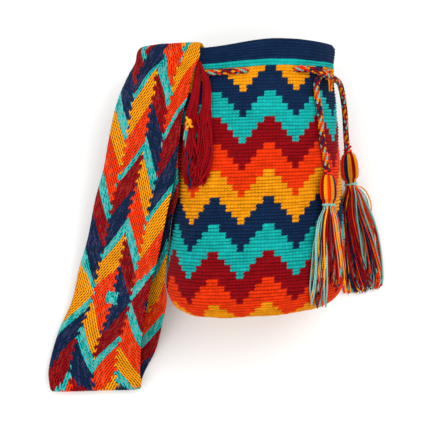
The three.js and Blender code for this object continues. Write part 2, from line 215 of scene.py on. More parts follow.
def paint(mesh: bpy.types.Mesh, name: str, colours: list[np.ndarray]) -> None:
    """Give a mesh a colour attribute.

    Args:
        mesh: the mesh.
        name: name of the attribute.
        colours: linear colours of the faces of each of its grids.
    """
    rgb = np.repeat(np.concatenate([colour.reshape(-1, 3) for colour in colours]), 4, axis=0)
    rgba = np.concatenate([rgb, np.ones((len(rgb), 1))], axis=1)
    mesh.color_attributes.new(name, "FLOAT_COLOR", "CORNER").data.foreach_set("color", rgba.ravel())


def make_object(
    name: str, surfaces: list[Surface], material: bpy.types.Material, flip: bool = False
) -> bpy.types.Object:
    """Put grids into one mesh object with its colours, relief and pattern positions.

    Args:
        name: name of the object.
        surfaces: the grids, each with its own points and faces.
        material: the finish of the whole object.
        flip: whether the faces are turned round to point outwards.

    Returns:
        The new object, at the origin.
    """
    points, faces, reliefs, uvs = [], [], [], []
    start = 0
    for surface in surfaces:
        points.append(surface.points.reshape(-1, 3) * MM)
        faces.append(surface.faces() + start)
        reliefs.append(surface.relief.reshape(-1))
        uvs.append(surface.corner_uv())
        start += surface.points.shape[0] * surface.points.shape[1]
    corners = np.concatenate(faces)
    uv = np.concatenate(uvs)
    if flip:
        corners = corners[:, ::-1]
        uv = uv.reshape(-1, 4, 2)[:, ::-1].reshape(-1, 2)
    mesh = bpy.data.meshes.new(name)
    mesh.from_pydata(np.concatenate(points), [], corners.tolist())
    paint(mesh, "dye", [surface.colour for surface in surfaces])
    if surfaces[0].beneath is not None:
        paint(mesh, "beneath", [surface.beneath for surface in surfaces])
    mesh.attributes.new("relief", "FLOAT", "POINT").data.foreach_set("value", np.concatenate(reliefs))
    mesh.uv_layers.new(name="stitch").data.foreach_set("uv", uv.ravel())
    mesh.polygons.foreach_set("use_smooth", np.ones(len(mesh.polygons), dtype=bool))
    mesh.materials.append(material)
    mesh.update()
    thing = bpy.data.objects.new(name, mesh)
    bpy.context.scene.collection.objects.link(thing)
    return thing


def tubes(paths: np.ndarray, radius: float, sides: int, colour: np.ndarray) -> list[Surface]:
    """Round yarns along many paths of the same number of points, each closed at its tips.

    A ring's points lie at the yarn's radius on two directions square to the path, worked out
    from the upright, which no path follows.

    Args:
        paths: points of each yarn, by yarn and step.
        radius: radius of the yarns.
        sides: number of points round a yarn.
        colour: linear colour of each yarn, or of each step of each yarn.

    Returns:
        One surface for each yarn.
    """
    tangent = unit(np.gradient(paths, axis=1))
    side = unit(np.cross(tangent, UP))
    lift = np.cross(side, tangent)
    turn = np.arange(sides) / sides * TAU
    rings = paths[:, :, None] + radius * (
        np.cos(turn)[:, None] * side[:, :, None] + np.sin(turn)[:, None] * lift[:, :, None]
    )
    tip = tangent * radius * 0.5
    first = np.repeat((paths - tip)[:, :1, None], sides, axis=2)
    last = np.repeat((paths + tip)[:, -1:, None], sides, axis=2)
    rings = np.concatenate([first, rings, last], axis=1)
    steps = rings.shape[1]
    length = np.cumsum(np.linalg.norm(np.diff(paths, axis=1), axis=2), axis=1)
    made = []
    for n in range(len(paths)):
        along = np.concatenate([[0.0, 0.0], length[n], length[n, -1:]])
        uv = np.stack(np.meshgrid(np.arange(sides) / sides, along), axis=-1)
        dye = colour[n] if colour.ndim == 2 else colour[n][:, None]
        shade = np.broadcast_to(dye, (steps - 1, sides, 3))
        made.append(Surface(rings[n], shade, np.ones((steps, sides)), uv, closed=True))
    return made


# ---- finishes ----


def add_node(
    tree: bpy.types.NodeTree, kind: str, settings: dict | None = None, links: dict | None = None
) -> bpy.types.Node:
    """Add a shader node, with its settings and the links into it.

    Args:
        tree: the material's node tree.
        kind: the node's type.
        settings: property names with values, or socket names or numbers with values.
        links: socket names or numbers with the output socket that feeds each.

    Returns:
        The new node.
    """
    node = tree.nodes.new(kind)
    for key, value in (settings or {}).items():
        if isinstance(key, str) and hasattr(node, key):
            setattr(node, key, value)
        else:
            node.inputs[key].default_value = value
    for key, socket in (links or {}).items():
        tree.links.new(socket, node.inputs[key])
    return node


class Strand(Enum):
    """How the yarn lies in a finish, which decides its fine bump."""

    CROCHET = "v-shaped legs of each stitch"
    WOVEN = "long floats with slits between"
    LOOSE = "single twisted yarn"


@dataclass(frozen=True)
class CottonFinish:
    """Mercerised cotton yarn: dull, with a faint sheen and a fuzz of fibres.

    Attributes:
        name: name of the material.
        strand: how the yarn lies.
        groove: how dark the painted shade in a groove is against a crest.
        gap: how dark the painted shade in the gap between two strands is.
        bump_mm: height of the fine bump.
        twist_mm: length of one turn of the yarn's ply.
        fuzz_mm: size of the fibres' unevenness.
        blotch_mm: size of the dye's unevenness.
        leg_slope: rise of a stitch's legs, in rounds for each stitch across.
    """

    name: str
    strand: Strand
    groove: float = 0.42
    gap: float = 0.8
    bump_mm: float = 0.25
    twist_mm: float = 2.4
    fuzz_mm: float = 0.55
    blotch_mm: float = 9.0
    leg_slope: float = 1.6

    def build(self) -> bpy.types.Material:
        """Make the material.

        Returns:
            A material that reads the piece's dye, relief and pattern positions.
        """
        material = bpy.data.materials.new(self.name)
        material.use_nodes = True
        tree = material.node_tree
        tree.nodes.clear()
        place = add_node(tree, "ShaderNodeTexCoord")
        dye = add_node(tree, "ShaderNodeAttribute", {"attribute_name": "dye"})
        relief = add_node(tree, "ShaderNodeAttribute", {"attribute_name": "relief"})
        # Uneven dye along the yarn, a few millimetres wide.
        at = {"Vector": place.outputs["Object"]}
        noise = {"Scale": 1.0 / (self.blotch_mm * MM), "Detail": 3.0, "Roughness": 0.6}
        blotch = add_node(tree, "ShaderNodeTexNoise", noise, at)
        noise = {"Scale": 1.0 / (self.fuzz_mm * MM), "Detail": 2.0}
        fibre = add_node(tree, "ShaderNodeTexNoise", noise, at)
        strand = self.strand_height(tree, place)
        # Brightness: painted shade darkens the grooves and the gaps between strands, a slight painted
        # highlight lifts the strands' crests, and the dye varies by a tenth.
        light = None
        for value, low, high, dim, full in (
            (relief.outputs["Fac"], 0.0, 1.0, self.groove, 1.0),
            (blotch.outputs["Fac"], 0.3, 0.7, 0.86, 1.12),
            (fibre.outputs["Fac"], 0.3, 0.7, 0.88, 1.1),
            (strand, 0.0, 1.0, self.gap, 1.08),
        ):
            ends = {"From Min": low, "From Max": high, "To Min": dim, "To Max": full}
            part = add_node(tree, "ShaderNodeMapRange", ends, {"Value": value}).outputs[0]
            if light is not None:
                both = {0: light, 1: part}
                part = add_node(tree, "ShaderNodeMath", {"operation": "MULTIPLY"}, both).outputs[0]
            light = part
        both = {0: self.dye_with_slit_shade(tree, dye, strand), "Scale": light}
        colour = add_node(tree, "ShaderNodeVectorMath", {"operation": "SCALE"}, both)
        both = {0: fibre.outputs["Fac"], 2: strand}
        height = add_node(tree, "ShaderNodeMath", {"operation": "MULTIPLY_ADD", 1: 0.35}, both)
        depth = {"Strength": 0.9, "Distance": self.bump_mm * MM}
        bump = add_node(tree, "ShaderNodeBump", depth, {"Height": height.outputs[0]})
        shader = add_node(
            tree,
            "ShaderNodeBsdfPrincipled",
            {"Roughness": 0.78, "IOR": 1.45, "Specular IOR Level": 0.05, "Sheen Weight": 0.01},
            {"Base Color": colour.outputs[0], "Normal": bump.outputs["Normal"]},
        )
        add_node(tree, "ShaderNodeOutputMaterial", None, {"Surface": shader.outputs[0]})
        return material

    def dye_with_slit_shade(
        self, tree: bpy.types.NodeTree, dye: bpy.types.Node, strand: bpy.types.NodeSocket
    ) -> bpy.types.NodeSocket:
        """Dye of the yarn, or in a woven cloth's open slits their colour: mostly painted shade, in places
        pale weft.

        Args:
            tree: the material's node tree.
            dye: the node that reads the top yarn's colour.
            strand: height of the strands.

        Returns:
            The socket that holds the colour.
        """
        if self.strand is not Strand.WOVEN:
            return dye.outputs["Color"]
        # In the open slits the dye gives way to painted shade, here and there to the pale weft.
        beneath = add_node(tree, "ShaderNodeAttribute", {"attribute_name": "beneath"})
        ends = {"From Min": 0.3, "From Max": 0.75, "To Min": 1.0, "To Max": 0.0}
        slit = add_node(tree, "ShaderNodeMapRange", ends, {"Value": strand})
        both = {0: slit.outputs[0], 6: dye.outputs["Color"], 7: beneath.outputs["Color"]}
        return add_node(tree, "ShaderNodeMix", {"data_type": "RGBA"}, both).outputs[2]

    def strand_height(self, tree: bpy.types.NodeTree, place: bpy.types.Node) -> bpy.types.NodeSocket:
        """Height of the strands, from 0 to 1, as a cosine of the pattern position.

        A stitch's two legs meet in a V, so the distance from the middle of the stitch is added
        to the position down it. The ply's turns cross a loose yarn slantwise.

        Args:
            tree: the material's node tree.
            place: the texture coordinate node.

        Returns:
            The socket that holds the height.
        """
        parts = add_node(tree, "ShaderNodeSeparateXYZ", None, {0: place.outputs["UV"]})
        across, down = parts.outputs[0], parts.outputs[1]
        if self.strand is Strand.WOVEN:
            return self.float_height(tree, across, down)
        if self.strand is Strand.CROCHET:
            away = across
            middle = {"operation": "SUBTRACT", 1: 0.5}
            for settings in ({"operation": "FRACT"}, middle, {"operation": "ABSOLUTE"}):
                away = add_node(tree, "ShaderNodeMath", settings, {0: away}).outputs[0]
            settings = {"operation": "MULTIPLY_ADD", 1: self.leg_slope}
            height = add_node(tree, "ShaderNodeMath", settings, {0: away, 2: down}).outputs[0]
        else:
            settings = {"operation": "DIVIDE", 1: self.twist_mm}
            length = add_node(tree, "ShaderNodeMath", settings, {0: down})
            both = {0: across, 1: length.outputs[0]}
            height = add_node(tree, "ShaderNodeMath", {"operation": "ADD"}, both).outputs[0]
        for settings in (
            {"operation": "MULTIPLY", 1: TAU},
            {"operation": "COSINE"},
            {"operation": "MULTIPLY_ADD", 1: 0.5, 2: 0.5},
        ):
            height = add_node(tree, "ShaderNodeMath", settings, {0: height}).outputs[0]
        return height

    def float_height(
        self, tree: bpy.types.NodeTree, across: bpy.types.NodeSocket, down: bpy.types.NodeSocket
    ) -> bpy.types.NodeSocket:
        """Height of woven floats, from 0 in the slits between them to 1 on their crests.

        Every second float is tied half a pick further on. A slit opens between two floats
        halfway between their ties, so the height is one less the product of the closeness to
        the float's side and the distance from its tie.

        Args:
            tree: the material's node tree.
            across: position across the band, in picks.
            down: number of the float.

        Returns:
            The socket that holds the height.
        """
        odd = down
        for settings in ({"operation": "FLOOR"}, {"operation": "PINGPONG", 1: 1.0}):
            odd = add_node(tree, "ShaderNodeMath", settings, {0: odd}).outputs[0]
        settings = {"operation": "MULTIPLY_ADD", 1: 0.5}
        pick = add_node(tree, "ShaderNodeMath", settings, {0: odd, 2: across}).outputs[0]
        shares = {}
        for value, near, far, low, high in ((pick, 0.08, 0.26, 0.1, 1.0), (down, 0.13, 0.3, 1.0, 0.0)):
            fold = add_node(tree, "ShaderNodeMath", {"operation": "PINGPONG", 1: 0.5}, {0: value})
            ends = {"From Min": near, "From Max": far, "To Min": low, "To Max": high}
            share = add_node(tree, "ShaderNodeMapRange", ends, {"Value": fold.outputs[0]})
            shares[len(shares)] = share.outputs[0]
        slit = add_node(tree, "ShaderNodeMath", {"operation": "MULTIPLY"}, shares)
        settings = {"operation": "SUBTRACT", 0: 1.0}
        return add_node(tree, "ShaderNodeMath", settings, {1: slit.outputs[0]}).outputs[0]


@dataclass(frozen=True)
class PaperFinish:
    """Matt white studio paper, for the floor.

    Attributes:
        name: name of the material.
        white: its colour.
        roughness: how matt it is.
    """

    name: str = "studio_paper"
    white: int = 0xF6F6F5
    roughness: float = 0.9

    def build(self) -> bpy.types.Material:
        """Make the material.

        Returns:
            The paper's material.
        """
        material = bpy.data.materials.new(self.name)
        material.use_nodes = True
        shader = material.node_tree.nodes["Principled BSDF"]
        shader.inputs["Base Color"].default_value = (*linear(self.white), 1.0)
        shader.inputs["Roughness"].default_value = self.roughness
        return material


# ---- the bag's shape ----


@dataclass(frozen=True)
class BagShape:
    """The lying bag: a rounded section that changes from the base to the rim.

    Attributes:
        rim_y: plane of the mouth.
        base_y: plane of the base at the middle of its height.
        lean: how far the base moves for each millimetre of height.
        skew: how far it moves for each millimetre to the right.
        mid_z: the middle of the height.
        wall: thickness of the fabric.
        squareness: exponent of the section's superellipse.
        sink: depth by which the section is pressed flat where it lies.
        corner: share of the wall that the base's rounded corner takes.
        flat: radius of the flat of the base as a share of the section's.
        sections: share of the wall, centre, half width, back height and front height.
        sag_start: share of the wall's height above which the slack mouth sags.
        sag_middle: sag of the rim at its middle.
        sag_left: what its left adds, where the strap pulls it down.
        sag_left_x: where that starts, and the distance over which it grows to the left.
        sag_right: what its right adds.
        sag_right_x: where that starts, and the distance over which it grows to the right.
        corrections: rounds of correction that find a point over the front.
    """

    rim_y: float = 135.0
    base_y: float = -127.0
    lean: float = -0.12
    skew: float = 0.07
    mid_z: float = 75.0
    wall: float = 4.5
    squareness: float = 2.4
    sink: float = 3.0
    corner: float = 0.107
    flat: float = 0.68
    sections: tuple = (
        (0.0, -2.0, 89.0, 0.0, 148.0), (0.15, -2.0, 89.0, 0.0, 153.0),
        (0.45, -0.25, 83.25, 0.0, 153.0), (0.7, -3.5, 83.0, 0.0, 150.0),
        (0.8, -9.75, 87.25, 1.0, 145.0), (0.893, -17.0, 93.0, 4.0, 139.0),
        (1.0, -20.5, 97.5, 4.0, 139.0),
    )
    sag_start: float = 0.7
    sag_middle: float = 1.5
    sag_left: float = 9.5
    sag_left_x: tuple = (20.0, 80.0)
    sag_right: float = 2.0
    sag_right_x: tuple = (30.0, 45.0)
    corrections: int = 12

    def sag(self, x: np.ndarray, w: np.ndarray) -> np.ndarray:
        """Drop of the slack mouth: it grows with the square of the share above its start.

        Args:
            x: place across the bag.
            w: share of the wall's height.

        Returns:
            Distances in millimetres.
        """
        share = np.clip((w - self.sag_start) / (1.0 - self.sag_start), 0.0, 1.0) ** 2
        start, over = self.sag_left_x
        left = self.sag_left * ease((start - x) / over)
        start, over = self.sag_right_x
        right = self.sag_right * ease((x - start) / over)
        return share * (self.sag_middle + left + right)

    def section(self, w: np.ndarray) -> tuple[np.ndarray, ...]:
        """Sizes of the section, a cubic between rows whose slopes join the rows beside them.

        Args:
            w: share of the wall's height.

        Returns:
            Its centre, half width, back, middle height and half height.
        """
        rows = np.array(self.sections)
        knots, values = rows[:, 0], rows[:, 1:]
        slopes = np.zeros_like(values)
        slopes[1:-1] = (values[2:] - values[:-2]) / (knots[2:] - knots[:-2])[:, None]
        at = np.clip(w, 0.0, 1.0)
        i = np.clip(np.searchsorted(knots, at, side="left") - 1, 0, len(knots) - 2)
        span = (knots[i + 1] - knots[i])[..., None]
        t = ((at - knots[i]) / span[..., 0])[..., None]
        bends = (t**3 - 2 * t * t + t) * slopes[i] + (t**3 - t * t) * slopes[i + 1]
        value = values[i] + (values[i + 1] - values[i]) * t * t * (3 - 2 * t) + bends * span
        centre, half, back, front = np.moveaxis(value, -1, 0)
        return centre, half, back, (front + back - self.sink) / 2, (front - back + self.sink) / 2

    def base(self, x: np.ndarray, z: np.ndarray) -> np.ndarray:
        """Height along the bag of the base's leaning plane."""
        return self.base_y + self.lean * (z - self.mid_z) + self.skew * x

    def at(self, turn: np.ndarray, w: np.ndarray, rho: np.ndarray, offset: np.ndarray) -> np.ndarray:
        """Points of the wall.

        Sine and cosine of the angle, each to the power two over the squareness, go across and
        up the section, and the result is held above the flat that the bag lies on.

        Args:
            turn: angle from the middle of the front towards +X, in radians.
            w: share of the wall's height.
            rho: share of the section's radius.
            offset: distance outside the outer surface.

        Returns:
            Points in millimetres.
        """
        turn, w, rho, offset = np.broadcast_arrays(turn, w, rho, offset)
        centre, half, back, middle, tall = self.section(w)
        power = 2.0 / self.squareness
        sine, cosine = np.sin(turn), np.cos(turn)
        x = centre + (half + offset) * rho * np.sign(sine) * np.abs(sine) ** power
        rise = (tall + offset) * rho * np.sign(cosine) * np.abs(cosine) ** power
        z = np.maximum(middle + rise, back - offset)
        y = self.rim_y * w + self.base(x, z) * (1.0 - w) - self.sag(x, w)
        return np.stack([x, y, z], axis=-1)

    def over_front(self, x: np.ndarray, y: np.ndarray, lift: np.ndarray) -> np.ndarray:
        """Points lifted from the front at given places in plan, found by repeated correction.

        Args:
            x: place across the bag.
            y: place along it.
            lift: distance from the front's outer surface.

        Returns:
            Points in millimetres.
        """
        x, y, lift = np.broadcast_arrays(*(np.asarray(v, dtype=float) for v in (x, y, lift)))
        z = np.full(x.shape, self.mid_z)
        w = np.zeros(x.shape)
        for _ in range(self.corrections):
            low = self.base(x, z)
            w = (y + self.sag(x, w) - low) / (self.rim_y - low)
            centre, half, _, middle, tall = self.section(w)
            reach = np.minimum(np.abs(x - centre) / (half + lift), 1.0)
            z = middle + (tall + lift) * (1.0 - reach**self.squareness) ** (1.0 / self.squareness)
        return np.stack([x, y, z], axis=-1)


BAG = BagShape()


# ---- crocheted bag ----


@dataclass
class CrochetedBag:
    """Wall, base and inside of the bag, worked in rounds of stitches with zigzag bands.

    Attributes:
        stitches: stitches in a round.
        period: stitches in one zigzag.
        rim_rows: rounds above the zigzags.
        stripe_rows: how many of them, just above the zigzags, are turquoise.
        corner_row: round where the base's corner starts.
        base_row: round where the flat of the base starts.
        middle_row: the last round, at the middle of the base.
        rim_pitch: share of the wall that a round takes above the zigzags.
        pitch: share of the wall that a round takes below them.
        band_rows: rounds in a band, and in the height of a zigzag.
        step_rows: rounds by which a zigzag's step goes up.
        crest_mm: height of a round's crest over its grooves.
        zigzag_x: place across the front of the lowest zigzag's bottom.
        zigzag_drift: how far it moves to the right up to the rim.
        across: faces across a stitch.
        down: faces down a round.
        steps: places of a zigzag's steps, in stitches from its bottom.
        wander: size in rounds, waves round the bag and turn for each round of the rounds' waves.
        split_row: round where the wall's upper piece ends and its lower piece starts.
        dimple_mm: depth and reach of the dimple round a hole.
        bands: yarns of the bands from the rim down.
        ring_points: points on a round where its length is measured.
        size_spread: spread of the stitches' heights, as a share.
        dye_spread: spread of their dye.
        finish: the yarn's finish.
    """

    stitches: int = 160
    period: int = 16
    rim_rows: int = 8
    stripe_rows: int = 2
    corner_row: int = 76
    base_row: int = 90
    middle_row: int = 107
    rim_pitch: float = 0.01125
    pitch: float = 0.0118
    band_rows: int = 8
    step_rows: int = 2
    crest_mm: float = 1.15
    zigzag_x: float = -20.5
    zigzag_drift: float = 5.0
    across: int = 3
    down: int = 4
    steps: tuple = (1.0, 2.67, 4.33, 6.33)
    wander: tuple = ((0.14, 3, 0.9), (0.05, 11, -2.3), (0.03, 23, 0.9))
    split_row: int = 41
    dimple_mm: tuple = (2.6, 4.2)
    ring_points: int = 721
    size_spread: float = 0.09
    dye_spread: float = 0.05
    bands: tuple = (
        Yarn.YELLOW, Yarn.NAVY, Yarn.TURQUOISE, Yarn.MAROON, Yarn.ORANGE, Yarn.YELLOW, Yarn.NAVY,
        Yarn.TURQUOISE, Yarn.MAROON, Yarn.ORANGE, Yarn.YELLOW, Yarn.YELLOW, Yarn.NAVY,
        Yarn.TURQUOISE,
    )
    finish: CottonFinish = field(default_factory=lambda: CottonFinish("crocheted_cotton", Strand.CROCHET))

    def profile(self, row: np.ndarray) -> tuple[np.ndarray, np.ndarray]:
        """The bag's profile: straight down the wall, a quarter arc, then flat to the middle.

        Args:
            row: number of the round.

        Returns:
            Share of the wall's height and share of the section's radius.
        """
        top = 1.0 - self.rim_pitch * np.minimum(row, self.rim_rows)
        wall = top - self.pitch * np.clip(row - self.rim_rows, 0, None)
        arc = (self.base_row - row) / (self.base_row - self.corner_row) * math.pi / 2
        arc = np.clip(arc, 0.0, math.pi / 2)
        low = BAG.corner * (1.0 - np.cos(arc))
        w = np.where(row < self.corner_row, wall, low)
        rho = BAG.flat + (1.0 - BAG.flat) * np.sin(arc)
        centre = np.clip((self.middle_row - row) / (self.middle_row - self.base_row), 0.0, 1.0)
        return w, np.where(row > self.base_row, BAG.flat * centre, rho)

    def angles(self, row: np.ndarray, column: np.ndarray) -> np.ndarray:
        """Angle of each stitch column at each round, by length round the section.

        Column nought is the bottom of a zigzag, a little left of the front's middle.

        Args:
            row: numbers of the rounds.
            column: numbers of the stitches in a round.

        Returns:
            Angles in radians, by round and stitch.
        """
        w, _ = self.profile(row)
        turn = np.linspace(-math.pi, math.pi, self.ring_points)
        ring = BAG.at(turn[None], w[:, None], 1.0, 0.0)
        length = np.cumsum(np.linalg.norm(np.diff(ring, axis=1), axis=2), axis=1)
        length = np.concatenate([np.zeros((len(row), 1)), length], axis=1)
        zigzag_x = self.zigzag_x + self.zigzag_drift * w
        start = length[:, self.ring_points // 2] + zigzag_x - BAG.section(w)[0]
        around = start[:, None] + column[None] / self.stitches * length[:, -1:]
        around = np.mod(around, length[:, -1:])
        return np.stack([np.interp(a, known, turn) for a, known in zip(around, length)])

    def band_of(self, row: np.ndarray, place: np.ndarray) -> np.ndarray:
        """Yarn at each round and place along it, in stitches.

        The band's number is the round less the zigzag, over the band's rounds; the zigzag is
        eight rounds at its bottom and two less past each step away from it.

        Args:
            row: number of the round.
            place: stitches from the bottom of a zigzag.

        Returns:
            Linear colours.
        """
        half = self.period / 2
        away = np.abs(np.mod(place + half, self.period) - half)
        steps = np.sum(away[..., None] >= np.array(self.steps), axis=-1)
        zigzag = self.band_rows - self.step_rows * steps
        below = row - self.rim_rows
        band = np.where(below < zigzag, 0, 1 + np.floor((below - zigzag) / self.band_rows)).astype(int)
        yarn = np.minimum(band, len(self.bands) - 1)
        colour = dyed(list(self.bands), yarn)
        top = np.where(row < self.rim_rows - self.stripe_rows, 0, 1)
        stripe = dyed([Yarn.NAVY, Yarn.TURQUOISE], np.broadcast_to(top, yarn.shape))
        return np.where((row < self.rim_rows)[..., None], stripe, colour)

    def outside(self, first: int, last: int, seed: int) -> Surface:
        """Surface of the rounds from first to last, with every stitch a small pillow.

        Args:
            first: number of the first round.
            last: number of the round after the last.
            seed: seed of its unevenness.

        Returns:
            The outer surface.
        """
        rng = np.random.default_rng(seed)
        row = np.arange(first * self.down, last * self.down + 1) / self.down
        column = np.arange(self.stitches * self.across) / self.across
        _, rho = self.profile(row)
        turn = self.angles(row, column)
        # Hand tension: each round wanders by a few tenths of its height.
        wander = sum(
            size * np.sin(waves * turn + shift * row[:, None]) for size, waves, shift in self.wander
        )
        steady = np.clip(row / 3.0, 0.0, 1.0) * np.clip((self.middle_row - row) / 5.0, 0.0, 1.0)
        place = np.clip(row[:, None] + wander * steady[:, None], 0.0, self.middle_row)
        ground = BAG.at(turn, *self.profile(place), 0.0)
        # A stitch's height: a round's rounded crest, lower between stitches, each a bit uneven.
        crest = np.sin(math.pi * np.mod(row, 1.0)) ** 0.7
        between = np.where(np.mod(column, 1.0) < 0.1, 0.6, 1.0)
        size = rng.normal(1.0, self.size_spread, (last - first + 1, self.stitches))
        cell_row = np.minimum((row - first).astype(int), last - first)
        cell_col = np.floor(column + 1e-6).astype(int)
        uneven = size[cell_row][:, cell_col]
        relief = crest[:, None] * between[None] * uneven
        wave = 0.35 * np.sin(turn * 9 + row[:, None] * 0.7) * (rho[:, None] > BAG.flat)
        normal = normals_of(ground)
        out = ground + normal * ((relief - 0.75) * self.crest_mm + wave)[..., None]
        out[..., 2] = np.maximum(out[..., 2], 0.05)
        shaped = out - normal * self.dimple(ground)[..., None]
        middle = 0.5 * (row[:-1] + row[1:])
        face_row = np.floor(middle).astype(int)
        face_col = np.floor(column + 0.5 / self.across).astype(int)
        # The top of a stitch leans over its neighbour, so a band's upright edges are serrated.
        lean = np.where(np.mod(middle, 1.0) < 1.5 / self.down, 1.0 / self.across, 0.0)
        place = column[None] + 0.5 / self.across - lean[:, None]
        colour = self.band_of(face_row[:, None], place)
        shade = rng.normal(1.0, self.dye_spread, (last - first + 1, self.stitches, 1))
        colour = colour * shade[np.minimum(face_row - first, last - first)][:, face_col]
        uv = np.stack(np.meshgrid(column, row), axis=-1)
        # Painted shade in the grooves: stronger in long soft stretches, called slack, and near the base.
        phase = rng.uniform(0.0, TAU, (2, last - first + 1))[:, cell_row, None]
        slack = 0.8 + 0.18 * np.sin(5 * turn + phase[0]) + 0.12 * np.sin(13 * turn + phase[1])
        slack = slack * (0.75 + 0.45 * ease(row / 60.0))[:, None]
        depth = 1.0 - (1.0 - np.clip(relief, 0.0, 1.0)) * slack
        return Surface(shaped, np.clip(colour, 0, 1), np.clip(depth, 0, 1), uv, closed=True)

    def dimple(self, ground: np.ndarray) -> np.ndarray:
        """Depth by which the fabric is drawn in round each hole: a bell of its distance.

        Args:
            ground: points of the smooth wall.

        Returns:
            Depth at each point.
        """
        deep, reach = self.dimple_mm
        depth = np.zeros(ground.shape[:2])
        for hole in DRAWSTRING.hole_points():
            away = np.linalg.norm(ground - hole, axis=-1)
            depth += deep * np.exp(-((away / reach) ** 2))
        return depth

    def inside(self) -> Surface:
        """Rolled rim and the inner face: plainer rounds, two steps each.

        Returns:
            The surface from the rim's outside to the middle of the floor.
        """
        column = np.arange(self.stitches, dtype=float)
        roll = np.linspace(0.0, math.pi, 7)[:-1]
        row = np.arange(0, self.middle_row * 2 + 1) / 2
        w, rho = self.profile(row)
        floor_share = BAG.wall / (BAG.rim_y - BAG.base_y)
        w = floor_share + (1.0 - floor_share) * w
        turn = self.angles(row, column)
        inner = BAG.at(turn, w[:, None], rho[:, None], -BAG.wall)
        swell = np.mod(row, 1.0)[:, None] * np.ones(len(column))
        inner = inner - normals_of(inner) * (swell * 0.8)[..., None]
        rim_turn = np.repeat(turn[:1], len(roll), axis=0)
        half = BAG.wall / 2
        rim = BAG.at(rim_turn, 1.0, 1.0, (-half + (half - 0.75) * np.cos(roll))[:, None])
        rim[..., 1] += (half * np.sin(roll))[:, None]
        points = np.concatenate([rim, inner])
        face_row = np.concatenate([np.zeros(len(roll)), np.floor(row[:-1] + 0.25)]).astype(int)
        # Painted shade: the rim's roll and the inner face are dyed a fifth darker, and their relief paints
        # shade into the grooves.
        colour = self.band_of(face_row[:, None], column[None] + 0.5) * 0.8
        relief = np.concatenate([np.full((len(roll), len(column)), 0.8), swell + 0.4])
        v_all = np.concatenate([roll / math.pi - 1.0, row])
        uv = np.stack(np.meshgrid(column, v_all), axis=-1)
        return Surface(points, colour, np.clip(relief, 0, 1), uv, closed=True)

    def build(self) -> list[bpy.types.Object]:
        """Make the bag's pieces.

        Returns:
            The upper wall, lower wall, base and inside.
        """
        material = self.finish.build()
        split = self.split_row
        upper = make_object("bag_wall_upper", [self.outside(0, split, 1)], material)
        lower = make_object("bag_wall_lower", [self.outside(split, self.base_row, 2)], material)
        base = make_object("bag_base_rounds", [self.outside(self.base_row, self.middle_row, 3)], material)
        inner = make_object("bag_inside", [self.inside()], material)
        pieces = [upper, lower, base, inner]
        for piece in pieces:
            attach(piece, BODY)
        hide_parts("bag_wall_front", "bag_wall_back")
        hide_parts("bag_base")
        return pieces


# ---- drawstring ----


